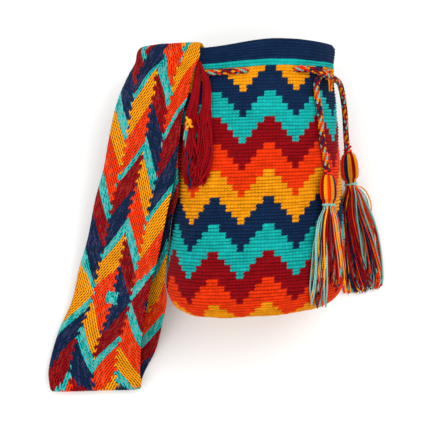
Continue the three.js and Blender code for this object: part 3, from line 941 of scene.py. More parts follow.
@dataclass
class Drawstring:
    """A round braid of twelve strands, laced through the wall and hanging loose at both ends.

    Attributes:
        diameter: of the braid, in millimetres.
        holes: angles where it passes through the wall, in degrees.
        lace_w: share of the wall's height where it runs.
        out_offset: distance of its middle from the wall's outer surface where it runs outside.
        in_offset: the same where it runs inside.
        half_angle: half of the angle over which it goes through a hole, in degrees.
        lay: length of one turn of its strands.
        step: distance between points along it.
        around: points round it.
        groove_mm: how much smaller than the cord its grooves are.
        bead_mm: height of a strand's crest over them.
        front_end: places in plan and lifts of the loose end on the front.
        crossing: the same where it crosses over the other end.
        flank_end: points of the loose end on the flank.
        strands: yarns of each set of strands.
        finish: the yarn's finish.
    """

    diameter: float = 5.8
    holes: tuple = (77.4, 115.0, 150.0, 210.0, 245.0, 343.4, 361.2, 391.0)
    lace_w: float = 0.893
    out_offset: float = 3.5
    in_offset: float = -8.0
    half_angle: float = 5.0
    lay: float = 30.0
    step: float = 0.8
    around: int = 30
    groove_mm: float = 0.5
    bead_mm: float = 0.7
    front_end: tuple = (
        (66.4, -27.0, 6.9), (66.2, -18.0, 7.0), (65.8, -6.0, 7.0), (65.3, 5.2, 3.6),
        (63.8, 17.0, 3.6), (60.8, 34.2, 3.6), (59.0, 51.6, 3.6), (57.8, 67.1, 3.6),
        (55.5, 80.8, 3.6), (55.3, 92.8, 3.6), (60.1, 100.2, 3.6), (67.6, 105.0, 3.6),
    )
    crossing: tuple = (
        (50.0, 105.4, 6.5), (56.0, 104.0, 10.3), (63.0, 101.4, 11.0), (70.5, 99.4, 7.0),
    )
    flank_end: tuple = (
        (80.5, 95.5, 92.0), (83.6, 88.0, 83.0), (86.6, 76.7, 71.0), (89.0, 60.2, 60.0),
        (90.6, 45.6, 50.0), (92.6, 31.0, 41.0), (94.2, 22.0, 36.2), (95.7, 10.0, 30.5),
        (97.6, -3.5, 24.9), (99.8, -14.0, 21.4),
    )
    strands: tuple = (
        Yarn.MAROON, Yarn.YELLOW, Yarn.ORANGE, Yarn.PALE_TURQUOISE, Yarn.MAROON, Yarn.NAVY,
    )
    finish: CottonFinish = field(
        default_factory=lambda: CottonFinish("braided_cotton", Strand.LOOSE, groove=0.3, bump_mm=0.12)
    )

    def hole_points(self) -> np.ndarray:
        """Middle of each hole on the outer surface."""
        return BAG.at(np.radians(self.holes), self.lace_w, 1.0, 0.0)

    def route(self) -> np.ndarray:
        """Points that the cord follows, the loose ends listed one by one and the laced part by angle.

        Returns:
            Points in millimetres.
        """
        angle = np.arange(80.0, 395.1, 5.0)
        inside = np.zeros(len(angle))
        for i, hole in enumerate(self.holes):
            passed = ease((angle - hole + self.half_angle) / (2 * self.half_angle))
            inside += passed if i % 2 == 0 else -passed
        offset = self.out_offset + (self.in_offset - self.out_offset) * inside
        laced = BAG.at(np.radians(angle), self.lace_w, 1.0, offset)
        front = BAG.over_front(*np.array(self.front_end).T)
        over = BAG.over_front(*np.array(self.crossing).T)
        return np.concatenate([front, laced, over, np.array(self.flank_end)])

    def line(self, step: float) -> np.ndarray:
        """The route as one smooth curve.

        Args:
            step: distance between its points.

        Returns:
            Points in millimetres.
        """
        route = self.route()
        fine = centripetal(route, np.linspace(0, len(route) - 1, 6000))
        length = distance_along(fine)
        at = np.linspace(0, length[-1], int(length[-1] / step) + 1)
        return np.stack([np.interp(at, length, fine[:, k]) for k in range(3)], axis=1)

    def surface(self) -> Surface:
        """The braid: two sets of strands spiral opposite ways and take turns on top.

        At a point the strand of each set is the angle plus or minus the length over the lay, and
        the set on top is the one that the sum of both numbers' parity names. The height is the
        product of both strands' rounded sections.

        Returns:
            The cord's surface.
        """
        line = self.line(self.step)
        normal, binormal = carried(line)
        around, lay, sets = self.around, self.lay, len(self.strands)
        turn = np.arange(around) / around
        length = distance_along(line)
        right = (turn[None] + length[:, None] / lay) * sets
        left = (turn[None] - length[:, None] / lay) * sets
        bead = np.abs(np.sin(math.pi * right) * np.sin(math.pi * left)) ** 0.5
        radius = self.diameter / 2 - self.groove_mm + self.bead_mm * bead
        radius[0] = radius[-1] = 0.3
        angle = (turn * TAU)[None, :, None]
        ring = normal[:, None] * np.cos(angle) + binormal[:, None] * np.sin(angle)
        points = line[:, None] + ring * radius[..., None]
        mid_turn = turn + 0.5 / around
        mid_length = 0.5 * (length[:-1] + length[1:])
        r = np.floor((mid_turn[None] + mid_length[:, None] / lay) * sets).astype(int)
        s = np.floor((mid_turn[None] - mid_length[:, None] / lay) * sets).astype(int)
        top = (r + s) % 2 == 0
        choice = np.where(top, r % sets, (s + 2) % sets)
        uv = np.stack(np.meshgrid(turn, length), axis=-1)
        # The strands' height is also the relief that paints shade between them.
        return Surface(points, dyed(list(self.strands), choice), bead, uv, closed=True)

    def build(self) -> bpy.types.Object:
        """Make the cord, in place of the plain tube.

        Returns:
            The piece.
        """
        cord = make_object("drawstring_braid", [self.surface()], self.finish.build(), flip=True)
        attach(cord, BODY)
        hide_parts("drawstring")
        return cord


DRAWSTRING = Drawstring()


# ---- woven strap ----


@dataclass
class WovenStrap:
    """A wide band of slanted floats in four lanes, its colours mirrored at its middle.

    Attributes:
        width: width of the band.
        thick: thickness of the cloth without its floats' crests.
        repeat: length along the band from one turquoise line to the next.
        slant: rise of a float across one lane.
        yarn_mm: distance along the band from one float to the next.
        ties: number of times that a float is tied in one lane.
        line_mm: width of the turquoise line along the band.
        square_mm: width of the turquoise square at the mirror line.
        middle: distance along the band of the mirror line.
        upper_slip: how much shorter the first repeat on the mouth's side is.
        under_slip: how much shorter the repeats past the fold are in all.
        crest_mm: height of a float's crest over its grooves.
        out_offset: distance of the band's middle surface from the wall it lies on.
        rim_bend: radius of its bend over the rim.
        mouth_angles: angles of its edges in the mouth, in degrees.
        flank_angles: the same on the flank.
        stations: left edge, right edge and crown of its free rows, from the mouth to the flank.
        flank: share of the wall's height and gap to the wall of its rows on the flank.
        row_points: points on a row.
        lanes: lanes of floats.
        cells: cells across its middle surface.
        upper_over: distance from the mirror line over which the upper slip comes.
        under_over: where the other slip starts past the mirror line, and over what distance.
        edge_shift: how much further the pattern is in the lanes at the edges.
        change: share of a repeat where one yarn of a pair gives way to the other.
        turn_reach: how far the floats turn over at the mirror line, in slants.
        even_over: where that turn ends and over what distance the floats' relief comes back.
        tooth: half of the stagger of neighbouring floats' ends, in lanes.
        jitter: unevenness of a yarn's end, as a share of a repeat.
        lean_rows: rows of the band, by number, where the next values hold.
        lean_shares: how far the band is stretched to the right there, as a share of its width.
        yarns: the band's yarns.
        slits: for each yarn, the dark painted shade in its slits, the pale weft seen in some, and the pale
            share.
        finish: the yarn's finish.
    """

    width: float = 95.0
    thick: float = 3.8
    repeat: float = 86.0
    slant: float = 40.0
    yarn_mm: float = 4.8
    ties: int = 10
    line_mm: float = 15.5
    square_mm: float = 14.5
    middle: float = 295.5
    upper_slip: float = 5.0
    under_slip: float = 21.6
    crest_mm: float = 0.6
    out_offset: float = 3.6
    rim_bend: float = 5.85
    finish: CottonFinish = field(
        default_factory=lambda: CottonFinish(
            "woven_cotton_floats", Strand.WOVEN, groove=0.6, gap=0.6, bump_mm=0.5
        )
    )
    mouth_angles: tuple = (-80.0, -17.5)
    flank_angles: tuple = (-122.0, -62.0)
    stations: tuple = (
        ((-129, 106, 70), (-65, 100, 140), 14), ((-137, 90, 70), (-69, 80, 138.5), 10),
        ((-143, 75, 66), (-74, 64, 135), 6), ((-150, 45, 60), (-78, 33, 130), 4),
        ((-157, 11, 50), (-83, -2, 124.5), 3), ((-166, -20, 42), (-90, -33, 114), 2),
        ((-174, -58, 33), (-98, -71, 99), 2), ((-184, -91, 24), (-107, -105, 82), 2),
        ((-192, -124, 15), (-113, -136, 66), 2), ((-205, -153, 11), (-118, -162, 49), 2),
        ((-213, -178, 10.5), (-120, -183, 29), 1), ((-217, -199, 12), (-121, -201, 16), 0.5),
        ((-216, -210, 13.5), (-120, -208, 14), 0), ((-215, -216.5, 12), (-120.5, -214, 12), 0),
        ((-214.5, -218.5, 8), (-120.5, -216, 8), 0), ((-214, -216.5, 4), (-120.5, -214, 4), 0),
        ((-214, -210, 2.6), (-120, -208, 2.6), 0), ((-211, -198, 2.6), (-116, -198, 2.8), 0),
        ((-200, -179, 2.6), (-105, -176, 12), 1), ((-187, -155, 3), (-97.4, -148, 34), 2),
        ((-172, -130, 4), (-92, -123, 56), 2), ((-153, -108, 5), (-93, -100, 78), 1),
        ((-134, -82, 7), (-90.5, -75, 91), 0), ((-124, -53, 9), (-87.7, -48, 96), 1),
    )
    flank: tuple = ((0.46, 0.3), (0.53, 1.0), (0.62, 0.0), (0.74, 0.0))
    row_points: int = 11
    lanes: int = 4
    cells: int = 40
    upper_over: float = 40.0
    under_over: tuple = (98.0, 28.0)
    edge_shift: float = 7.0
    change: float = 0.52
    turn_reach: float = 1.06
    even_over: tuple = (12.0, 50.0)
    tooth: float = 0.045
    jitter: float = 0.03
    lean_rows: tuple = (10, 11, 12, 13, 14, 15, 16, 18, 19, 20, 21, 23, 28)
    lean_shares: tuple = (0.1, 0.12, 0.12, 0.1, 0.09, 0.065, 0.04, 0.06, 0.05, 0.02, -0.02, -0.02, 0)
    yarns: tuple = (Yarn.YELLOW, Yarn.ORANGE, Yarn.MAROON, Yarn.NAVY, Yarn.TURQUOISE)
    slits: tuple = (
        (0x42200A, 0x9A5410, 0.25), (0x701804, 0xD88A5A, 0.16), (0x260206, 0xAE4A30, 0.34),
        (0x050A18, 0x665078, 0.3), (0x0B4A50, 0xBCDFD2, 0.5),
    )

    def on_wall(self, left: float, right: float, w: float, offset: float) -> np.ndarray:
        """Row of points across the band where it follows the bag's wall."""
        return BAG.at(np.radians(np.linspace(left, right, self.row_points)), w, 1.0, offset)

    def free(self, left: tuple, right: tuple, crown: float) -> np.ndarray:
        """Row of points across the band where it is free: a chord with its middle raised.

        Args:
            left: its left end.
            right: its right end.
            crown: how far its middle is raised.

        Returns:
            Points in millimetres.
        """
        a, b = np.array(left), np.array(right)
        chord = unit(b - a)
        up = unit(UP - chord * chord[2])
        v = np.linspace(0, 1, self.row_points)[:, None]
        return a + (b - a) * v + up * crown * 4 * v * (1 - v)

    def rows(self) -> np.ndarray:
        """Rows across the band: inside the rim, over it, down the bag, round the fold and back.

        Returns:
            Points by row and place across it.
        """
        left, right = self.mouth_angles
        rows = [self.on_wall(left, right, w, -BAG.wall - self.out_offset) for w in (0.941, 0.96, 0.98)]
        for turn in np.linspace(0, math.pi, 7):
            row = self.on_wall(left, right, 1.0, -BAG.wall / 2 - self.rim_bend * math.cos(turn))
            row[:, 1] += self.rim_bend * math.sin(turn)
            rows.append(row)
        rows.append(self.on_wall(left, right, 1.0 - 9.0 / (BAG.rim_y - BAG.base_y), self.out_offset + 2))
        rows.extend(self.free(*station) for station in self.stations)
        left, right = self.flank_angles
        rows.extend(self.on_wall(left, right, w, self.out_offset + gap) for w, gap in self.flank)
        lean = np.interp(np.arange(len(rows)), self.lean_rows, self.lean_shares)
        even = [self.spread(np.array(row, dtype=float), share) for row, share in zip(rows, lean)]
        return np.array(even)

    def spread(self, row: np.ndarray, lean: float) -> np.ndarray:
        """The same row with its points at equal distances, so that the lanes are equally wide.

        Args:
            row: the points.
            lean: share of the width by which the middle lies nearer the right edge.

        Returns:
            As many points on the same curve.
        """
        fine = centripetal(row, np.linspace(0, len(row) - 1, 201))
        length = distance_along(fine)
        share = np.linspace(0.0, 1.0, len(row))
        at = length[-1] * (share + lean * np.sin(math.pi * share))
        return np.stack([np.interp(at, length, fine[:, k]) for k in range(3)], axis=1)

    def sheet(self) -> tuple[np.ndarray, np.ndarray]:
        """Middle surface of the band, finely sampled.

        Returns:
            Points by step along and across the band, and the distance along it of each step.
        """
        rows = self.rows()
        along = centripetal(rows, np.linspace(0, len(rows) - 1, 1500))
        at = np.linspace(0, self.row_points - 1, self.cells + 1)
        across = centripetal(np.moveaxis(along, 1, 0), at)
        fine = np.moveaxis(across, 0, 1)
        return fine, distance_along(fine[:, self.cells // 2])

    def look_up(self, sheet: tuple, t: np.ndarray, q: np.ndarray) -> np.ndarray:
        """Points of the middle surface, straight between its sampled points.

        Args:
            sheet: the sampled points and the distance of each step.
            t: distances along it.
            q: lanes across it.

        Returns:
            Points in millimetres.
        """
        fine, length = sheet
        i = np.interp(t, length, np.arange(len(length)))
        j = np.clip(q / self.lanes * self.cells, 0, self.cells)
        i0 = np.clip(np.floor(i).astype(int), 0, len(length) - 2)
        j0 = np.clip(np.floor(j).astype(int), 0, self.cells - 1)
        a, b = (i - i0)[..., None], (j - j0)[..., None]
        low = fine[i0, j0] * (1 - b) + fine[i0, j0 + 1] * b
        high = fine[i0 + 1, j0] * (1 - b) + fine[i0 + 1, j0 + 1] * b
        return low * (1 - a) + high * a

    def chevron(self, q: np.ndarray) -> np.ndarray:
        """Share of the slant at lane q: nought at the edges and middle, one between lanes."""
        away = np.abs(q - 2.0)
        return np.where(away < 1.0, away, 2.0 - away)

    def yarn_at(self, t: np.ndarray, q: np.ndarray, jitter: np.ndarray) -> np.ndarray:
        """Number of the yarn at distance t from the mirror line and lane q.

        The phase is the distance plus the slant towards the lanes' low line, over the repeat.
        Its ends are the turquoise line, and the two halves between are a light and a dark
        yarn, whose pair changes with every repeat and from lane to lane.

        Args:
            t: distance from the mirror line, more than nought on the mouth's side.
            q: lane across the band.
            jitter: what is added to the share of the repeat.

        Returns:
            Places in the list of yarns.
        """
        away = np.abs(q - 2.0)
        inner = away < 1.0
        far = np.abs(t)
        start, over = self.under_over
        upper = self.upper_slip * ease(far / self.upper_over)
        under = self.under_slip * ease((far - start) / over)
        climbed = far + np.where(t > 0.0, upper, under)
        outer_phase = climbed - self.slant * (away - 1.0) - self.edge_shift
        slanted = np.where(inner, climbed + self.slant * away, outer_phase)
        phase = slanted / self.repeat
        number = np.floor(phase).astype(int)
        share = phase - number
        line = self.line_mm / 2 / self.repeat
        square = (far < self.square_mm / 2) & (away < self.square_mm / 2 / (self.width / self.lanes))
        turquoise = (share < line) | (share > 1.0 - line) | square
        first = share + jitter > self.change
        warm = (number + np.where(inner, q > 2.0, q < 2.0)) % 2 == 0
        choice = np.where(warm, np.where(first, 0, 1), np.where(first, 2, 3))
        return np.where(turquoise, 4, choice)

    def ground(self, sheet: tuple, t: np.ndarray, q: np.ndarray) -> tuple[np.ndarray, np.ndarray]:
        """Middle surface under a grid, with normals from the points a little way off.

        Args:
            sheet: the sampled points and the distance of each step.
            t: distances along it.
            q: lanes across it.

        Returns:
            Points in millimetres and unit normals.
        """
        step, lane_step, total = 2.0, 0.08, sheet[1][-1]
        ahead = self.look_up(sheet, np.clip(t + step, 0, total), q)
        behind = self.look_up(sheet, np.clip(t - step, 0, total), q)
        right = self.look_up(sheet, t, q + lane_step)
        left = self.look_up(sheet, t, q - lane_step)
        return self.look_up(sheet, t, q), unit(np.cross(ahead - behind, right - left))

    def relief(self, yarn: np.ndarray, q: np.ndarray) -> np.ndarray:
        """Height of the floats: rounded across, and pressed down where a pick ties them.

        Args:
            yarn: number of the float of each row of the grid.
            q: lanes across the band.

        Returns:
            Heights from 0 to 1.
        """
        staggered = 0.5 * np.mod(np.floor(yarn)[:, None], 2.0)
        tie = np.abs(np.sin(math.pi * (q * self.ties + staggered)))
        crest = np.abs(np.sin(math.pi * yarn))[:, None]
        start, over = self.even_over
        even = ease((np.abs(yarn[:, None] * self.yarn_mm - self.middle) - start) / over)
        return (crest * (0.4 + 0.6 * tie**0.6)) * even + 0.6 * (1.0 - even)

    def dyes(self, t: np.ndarray, q: np.ndarray) -> tuple[np.ndarray, np.ndarray, np.ndarray]:
        """Pattern positions and colours of a grid's faces.

        A face's corners all take its own side of the mirror line, so the floats meet there at
        a sharp angle. A float has one colour over its whole width, so the rule takes its
        middle line. Neighbouring floats end a little apart, so the lanes meet in teeth.

        Args:
            t: distances along the band of the grid's points.
            q: their lanes across it.

        Returns:
            Positions of each face's corners, its colour and its slits' colour: painted shade, in places
            pale weft.
        """
        t_mid = 0.25 * (t[:-1, :-1] + t[1:, :-1] + t[:-1, 1:] + t[1:, 1:])
        q_mid = np.broadcast_to((q[0, :-1] + q[0, 1:])[None] / 2, t_mid.shape)
        side_of = np.sign(t_mid - self.middle)[..., None]
        t_four = np.stack([t[:-1, :-1], t[1:, :-1], t[1:, 1:], t[:-1, 1:]], axis=2)
        q_four = np.stack([q[:-1, :-1], q[1:, :-1], q[1:, 1:], q[:-1, 1:]], axis=2)
        float_four = (t_four + self.slant * self.chevron(q_four) * side_of) / self.yarn_mm
        number = np.floor(float_four.mean(axis=2)).astype(int)
        odd = np.mod(number, 2)
        tie_number = np.floor(q_mid * self.ties + 0.5 * odd)
        tooth = self.tooth * np.where(odd == 0, 1.0, -1.0)
        chance = scatter(number, tie_number)
        t_float = (number + 0.5) * self.yarn_mm - self.slant * self.chevron(q_mid) * side_of[..., 0]
        in_square = np.abs(t_mid - self.middle) < self.square_mm
        yarn_number = self.yarn_at(
            self.middle - np.where(in_square, t_mid, t_float),
            np.clip(q_mid + tooth, 0.01, self.lanes - 0.01),
            self.jitter * (chance - 0.5),
        )
        shade = 0.9 + 0.2 * scatter(number, 0 * number) + 0.12 * (chance - 0.5)
        colour = dyed(list(self.yarns), yarn_number) * shade[..., None]
        # Painted shade in the slits: mostly a dark copy of each yarn's colour, here and there the pale
        # weft instead.
        dark = np.array([linear(slit[0]) for slit in self.slits])[yarn_number]
        pale = np.array([linear(slit[1]) for slit in self.slits])[yarn_number]
        share = np.array([slit[2] for slit in self.slits])[yarn_number]
        shows = scatter(tie_number, number + 7) < share
        beneath = np.where(shows[..., None], pale, dark)
        return np.stack([q_four * self.ties, float_four], axis=-1), np.clip(colour, 0, 1), beneath

    def face(self, side: int, seed: int, per_yarn: int, per_lane: int) -> Surface:
        """One face of the band.

        The grid's rows follow the floats: a row's distance along the band is its own less the
        chevron times the slant, which turns over smoothly at the mirror line.

        Args:
            side: which way the face looks, 1 or -1.
            seed: seed of its unevenness.
            per_yarn: faces across a float.
            per_lane: faces along the floats of one lane.

        Returns:
            The face's surface.
        """
        rng = np.random.default_rng(seed)
        sheet = self.sheet()
        total = sheet[1][-1]
        first = math.floor(-self.slant / self.yarn_mm) - 1
        count = (math.ceil((total + 2 * self.slant) / self.yarn_mm) + 2) * per_yarn
        yarn = first + np.arange(count + 1) / per_yarn
        lane = np.arange(self.lanes * per_lane + 1) / per_lane
        start = yarn[:, None] * self.yarn_mm
        bend = (start - self.middle) / (self.turn_reach * self.slant)
        turn_over = bend / (1.0 + np.abs(bend) ** 6) ** (1.0 / 6.0)
        t = np.clip(start - self.slant * self.chevron(lane)[None] * turn_over, 0.0, total)
        q = np.broadcast_to(lane[None], t.shape)
        ground, normal = self.ground(sheet, t, q)
        # The cloth thins at its edges and ends.
        edge = np.abs(0.5 * q - 1.0)
        body = np.sqrt(np.clip(1.0 - edge**14, 0.0, 1.0))
        ends = np.clip(np.minimum(t, total - t) / 2.5, 0.0, 1.0) ** 0.5
        relief = self.relief(yarn, q)
        noise = rng.normal(1.0, 0.06, t.shape)
        lift = body * (self.thick / 2 + self.crest_mm * (relief * noise - 0.5))
        points = ground + normal * side * (lift * ends)[..., None]
        points[..., 2] = np.maximum(points[..., 2], 0.1)
        corners, colour, beneath = self.dyes(t, q)
        # Rows that lie wholly past the band's ends are left out.
        rows = np.flatnonzero((t.max(axis=1) > 0.0) & (t.min(axis=1) < total))
        low, high = max(rows[0] - 1, 0), rows[-1] + 2
        # The relief attribute paints shade between the floats and at their ties.
        return Surface(
            points[low:high],
            colour[low : high - 1],
            np.clip(0.75 + 0.3 * relief[low:high], 0, 1),
            np.stack([q, q], axis=-1)[low:high],
            own_corners=corners[low : high - 1],
            beneath=beneath[low : high - 1],
        )

    def build(self) -> list[bpy.types.Object]:
        """Make both faces of the band.

        Returns:
            The outer face and the inner face.
        """
        material = self.finish.build()
        upper = make_object("strap_outer_face", [self.face(-1, 11, 4, 30)], material, flip=True)
        under = make_object("strap_inner_face", [self.face(1, 12, 2, 15)], material)
        for piece in (upper, under):
            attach(piece, BODY)
        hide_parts("strap_upper_run", "strap_lower_run", "strap_fold")
        return [upper, under]


# ---- loose yarn ----


def mixed_yarn(count: int, share: dict, rng: np.random.Generator) -> np.ndarray:
    """Colours of many loose yarns, drawn by their shares, each a little lighter or darker.

    Args:
        count: number of yarns.
        share: how many of ten yarns are of each colour.
        rng: source of the draws.

    Returns:
        A linear colour for each yarn.
    """
    weight = np.array(list(share.values()), dtype=float)
    choice = rng.choice(len(share), size=count, p=weight / weight.sum())
    return np.clip(dyed(list(share), choice) * rng.normal(1.0, 0.1, (count, 1)), 0.0, 1.0)


TASSEL_MIX = {
    Yarn.ORANGE: 2.6,
    Yarn.MAROON: 2.9,
    Yarn.YELLOW: 2.0,
    Yarn.NAVY: 1.5,
    Yarn.PALE_TURQUOISE: 1.2,
}
LOOSE_YARN = CottonFinish("loose_cotton_yarn", Strand.LOOSE, groove=0.8, bump_mm=0.15)


def strand(places: tuple, steps: int) -> np.ndarray:
    """Path of one yarn over the bag's front.

    Args:
        places: places in plan with their lifts.
        steps: points on the yarn.

    Returns:
        Points by yarn and step, for one yarn.
    """
    at = np.linspace(0.0, len(places) - 1.0, steps)
    x, y, lift = centripetal(np.array(places, dtype=float), at).T
    return BAG.over_front(x, y, lift)[None]


@dataclass
class Tassel:
    """A bundle of cut yarns, bound at its neck, over the cord's end.

    The subclasses say where a place in the bundle is; this class lays the yarns.

    Attributes:
        material: the yarn's finish.
        name: start of the names of its nodes and pieces.
        stations: place of the bundle's middle and its half sizes, from the cord to the tips.
        strays: yarn and points of single yarns that bulge out of the bundle.
        stripes: yarns round the head, from the right over the top to the left, then again.
        neck: station where it is bound.
        knot_radius: radius of the knot on top of the head.
        swing: spread of the angle by which yarns swing round the bundle towards their tips.
        locks: number of locks in the skirt.
        head_yarns: yarns round the head, which go on into the skirt.
        inner_yarns: yarns inside the skirt.
        filling_yarns: thick yarns that fill the head.
        seed: seed of this tassel's draws.
        rng: source of its draws.
    """

    material: bpy.types.Material
    name: str = ""
    stations: tuple = ()
    strays: tuple = ()
    stripes: tuple = (
        Yarn.ORANGE, Yarn.YELLOW, Yarn.MAROON, Yarn.YELLOW, Yarn.NAVY, Yarn.ORANGE, Yarn.YELLOW,
        Yarn.MAROON, Yarn.NAVY,
    )
    neck: float = 5.5
    knot_radius: float = 3.3
    swing: float = 0.45
    locks: int = 13
    head_yarns: int = 40
    inner_yarns: int = 92
    filling_yarns: int = 20
    seed: int = 0
    rng: np.random.Generator = field(init=False)

    def __post_init__(self) -> None:
        """Start the seeded draws of this tassel."""
        self.rng = np.random.default_rng(self.seed)

    def is_pale(self, u: np.ndarray) -> np.ndarray:
        """Which yarns are pale turquoise, by their place across the bundle."""
        return (u > 0.62) & (self.rng.uniform(0.0, 1.0, len(u)) < 0.55)

    def place(self, row: np.ndarray, u: np.ndarray, v: np.ndarray) -> np.ndarray:
        """Point at a station's values, across the bundle and through it from -1 to 1."""
        raise NotImplementedError

    def lock_of(self, turn: np.ndarray) -> np.ndarray:
        """Number of the lock that a yarn at this angle hangs in."""
        return np.floor(np.mod(turn, TAU) / TAU * self.locks).astype(int)

    def tips(self, u: np.ndarray, turn: np.ndarray) -> np.ndarray:
        """Station where each yarn ends: its lock's end, less a little of its own.

        Args:
            u: place of each yarn across the bundle.
            turn: its angle round the bundle.

        Returns:
            Stations.
        """
        lock_end = np.random.default_rng(self.seed + 2).uniform(0.0, 1.5, self.locks)
        own = self.rng.uniform(-0.1, 0.35, len(u))
        return len(self.stations) - 1.0 - lock_end[self.lock_of(turn)] - own

    def dyes(self, u: np.ndarray, turn: np.ndarray) -> np.ndarray:
        """Colour of each yarn below the neck: mostly its lock's, some of any other.

        Args:
            u: place of each yarn across the bundle.
            turn: its angle round the bundle.

        Returns:
            Linear colours.
        """
        draw = np.random.default_rng(self.seed + 3)
        own = mixed_yarn(len(u), TASSEL_MIX, self.rng)
        lock_colour = mixed_yarn(self.locks, TASSEL_MIX, draw)[self.lock_of(turn)]
        same = self.rng.uniform(0.0, 1.0, (len(u), 1)) < 0.5
        colour = np.where(same, lock_colour, own)
        colour[self.is_pale(u)] = Yarn.PALE_TURQUOISE.rgb
        return np.clip(colour * self.rng.normal(0.9, 0.1, (len(u), 1)), 0.0, 1.0)

    def lay(
        self,
        start: np.ndarray,
        end: np.ndarray,
        turn: np.ndarray,
        reach: np.ndarray,
        steps: int,
        loose: float,
    ) -> np.ndarray:
        """Paths of yarns through the stations, wavier towards their loose ends.

        A yarn keeps its angle and its share of the bundle's radius, but for a sine wave whose
        size grows with the way past the neck. Neighbours hang in locks, which share a wave.

        Args:
            start: station where each yarn starts.
            end: station where each yarn ends.
            turn: angle of each yarn round the bundle.
            reach: share of the bundle's radius of each yarn.
            steps: points on a yarn.
            loose: size of the waves, as a share of the radius.

        Returns:
            Points by yarn and step.
        """
        count = len(start)
        share = np.linspace(0.0, 1.0, steps)
        at = start[:, None] + (end - start)[:, None] * share
        rows = centripetal(np.array(self.stations), at.ravel()).reshape(count, steps, -1)
        past = np.clip((at - self.neck) / (len(self.stations) - 1 - self.neck), 0.0, 1.0)
        lock = self.lock_of(turn)
        draw = np.random.default_rng(self.seed + 1)
        waves = []
        for size in (1.0, 0.8):
            pitch = draw.uniform(0.35, 1.3, self.locks)[lock][:, None]
            pitch = pitch + self.rng.normal(0.0, 0.12, (count, 1))
            phase = draw.uniform(0.0, 1.0, self.locks)[lock][:, None]
            lean = draw.normal(0.0, 1.0, self.locks)[lock][:, None]
            lean = lean + self.rng.normal(0.0, 0.5, (count, 1))
            wave = np.sin(TAU * (pitch * past + phase)) - np.sin(TAU * phase) + lean * past
            waves.append(loose * size * past**1.3 * wave)
        swung = turn[:, None] + self.rng.normal(0.0, self.swing, (count, 1)) * past
        u = reach[:, None] * np.cos(swung) + waves[0]
        v = reach[:, None] * np.sin(swung) + waves[1]
        return self.place(rows, np.clip(u, -1.12, 1.12), np.clip(v, -0.95, 1.1))

    def skin(self) -> list[Surface]:
        """Yarns over the head and down the outside of the skirt.

        Round the head three neighbours share a colour, as the yarns are wound threefold.

        Returns:
            A surface for each yarn.
        """
        count, steps, start, reach = self.head_yarns, 60, 0.15, 0.93
        turn = np.arange(count) / count * TAU
        across = reach * np.cos(turn)
        ends = self.tips(across, turn)
        paths = self.lay(np.full(count, start), ends, turn, np.full(count, reach), steps, 0.34)
        wound = dyed(list(self.stripes), np.arange(count) // 3 % len(self.stripes))
        wound = wound * self.rng.normal(0.85, 0.12, (count, 1))
        at = start + (ends[:, None] - start) * np.linspace(0.0, 1.0, steps + 1)
        loose = self.dyes(across, turn)
        colour = np.where((at > self.neck)[..., None], loose[:, None], wound[:, None])
        return tubes(paths, 0.82, 6, np.clip(colour, 0, 1))

    def inner(self) -> list[Surface]:
        """Yarns inside the skirt, from the binding down.

        Returns:
            A surface for each yarn.
        """
        count, steps = self.inner_yarns, 44
        turn = self.rng.uniform(0.0, TAU, count)
        reach = np.sqrt(self.rng.uniform(0.1, 1.0, count)) * 0.95
        across = np.cos(turn) * reach
        ends = self.tips(across, turn)
        paths = self.lay(np.full(count, self.neck - 0.8), ends, turn, reach, steps, 0.4)
        return tubes(paths, 0.66, 5, self.dyes(across, turn))

    def filling(self) -> list[Surface]:
        """Thick maroon yarns under the head's, so that no gap shows through it.

        Returns:
            A surface for each yarn.
        """
        count, steps = self.filling_yarns, 24
        start, end = np.full(count, 0.3), np.full(count, self.neck + 1.5)
        turn = np.arange(count) / count * TAU
        paths = self.lay(start, end, turn, np.full(count, 0.72), steps, 0.0)
        maroon = np.tile(Yarn.MAROON.rgb, (count, 1))
        return tubes(paths, 1.1, 5, maroon)

    def loops(self) -> list[Surface]:
        """Single yarns that bulge out of the bundle.

        Returns:
            A surface for each yarn.
        """
        made, steps = [], 40
        for yarn, places in self.strays:
            loop = centripetal(np.array(places, dtype=float), np.linspace(0, len(places) - 1, steps))
            made += tubes(loop[None], 0.7, 6, yarn.rgb[None])
        return made

    def knot(self) -> list[Surface]:
        """Knot of the cord's strands on top of the head: one yarn coiled up round it.

        Returns:
            The coil's surface.
        """
        steps = 70
        angle = np.linspace(0.0, 2.6 * TAU, steps)
        rows = centripetal(np.array(self.stations), -0.9 + 1.2 * angle / angle[-1])
        rows[:, 3:] = self.knot_radius
        coil = self.place(rows, np.cos(angle), np.sin(angle))[None]
        colour = dyed([Yarn.MAROON, Yarn.ORANGE], (np.arange(steps + 1) // 9) % 2)[None]
        return tubes(coil, 1.15, 7, colour)

    def tie(self) -> list[Surface]:
        """Pale yarn wound twice round the neck.

        Returns:
            The yarn's surface.
        """
        steps = 100
        angle = np.linspace(0.0, 2.2 * TAU, steps)
        rows = centripetal(np.array(self.stations), self.neck - 0.15 + 0.3 * angle / angle[-1])
        path = self.place(rows, 1.13 * np.cos(angle), 1.16 * np.sin(angle))[None]
        return tubes(path, 0.62, 6, Yarn.PALE_TURQUOISE.rgb[None])

    def build(self) -> list[bpy.types.Object]:
        """Make the yarns and the binding.

        Returns:
            The bundle and its binding.
        """
        yarns = self.skin() + self.inner() + self.filling() + self.loops()
        bundle = make_object(self.name + "_yarns", yarns, self.material, flip=True)
        binding = make_object(self.name + "_tie", self.knot() + self.tie(), self.material, flip=True)
        for piece in (bundle, binding):
            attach(piece, BODY)
        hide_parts(self.name + "_yarn")
        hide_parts(self.name + "_binding")
        return [bundle, binding]


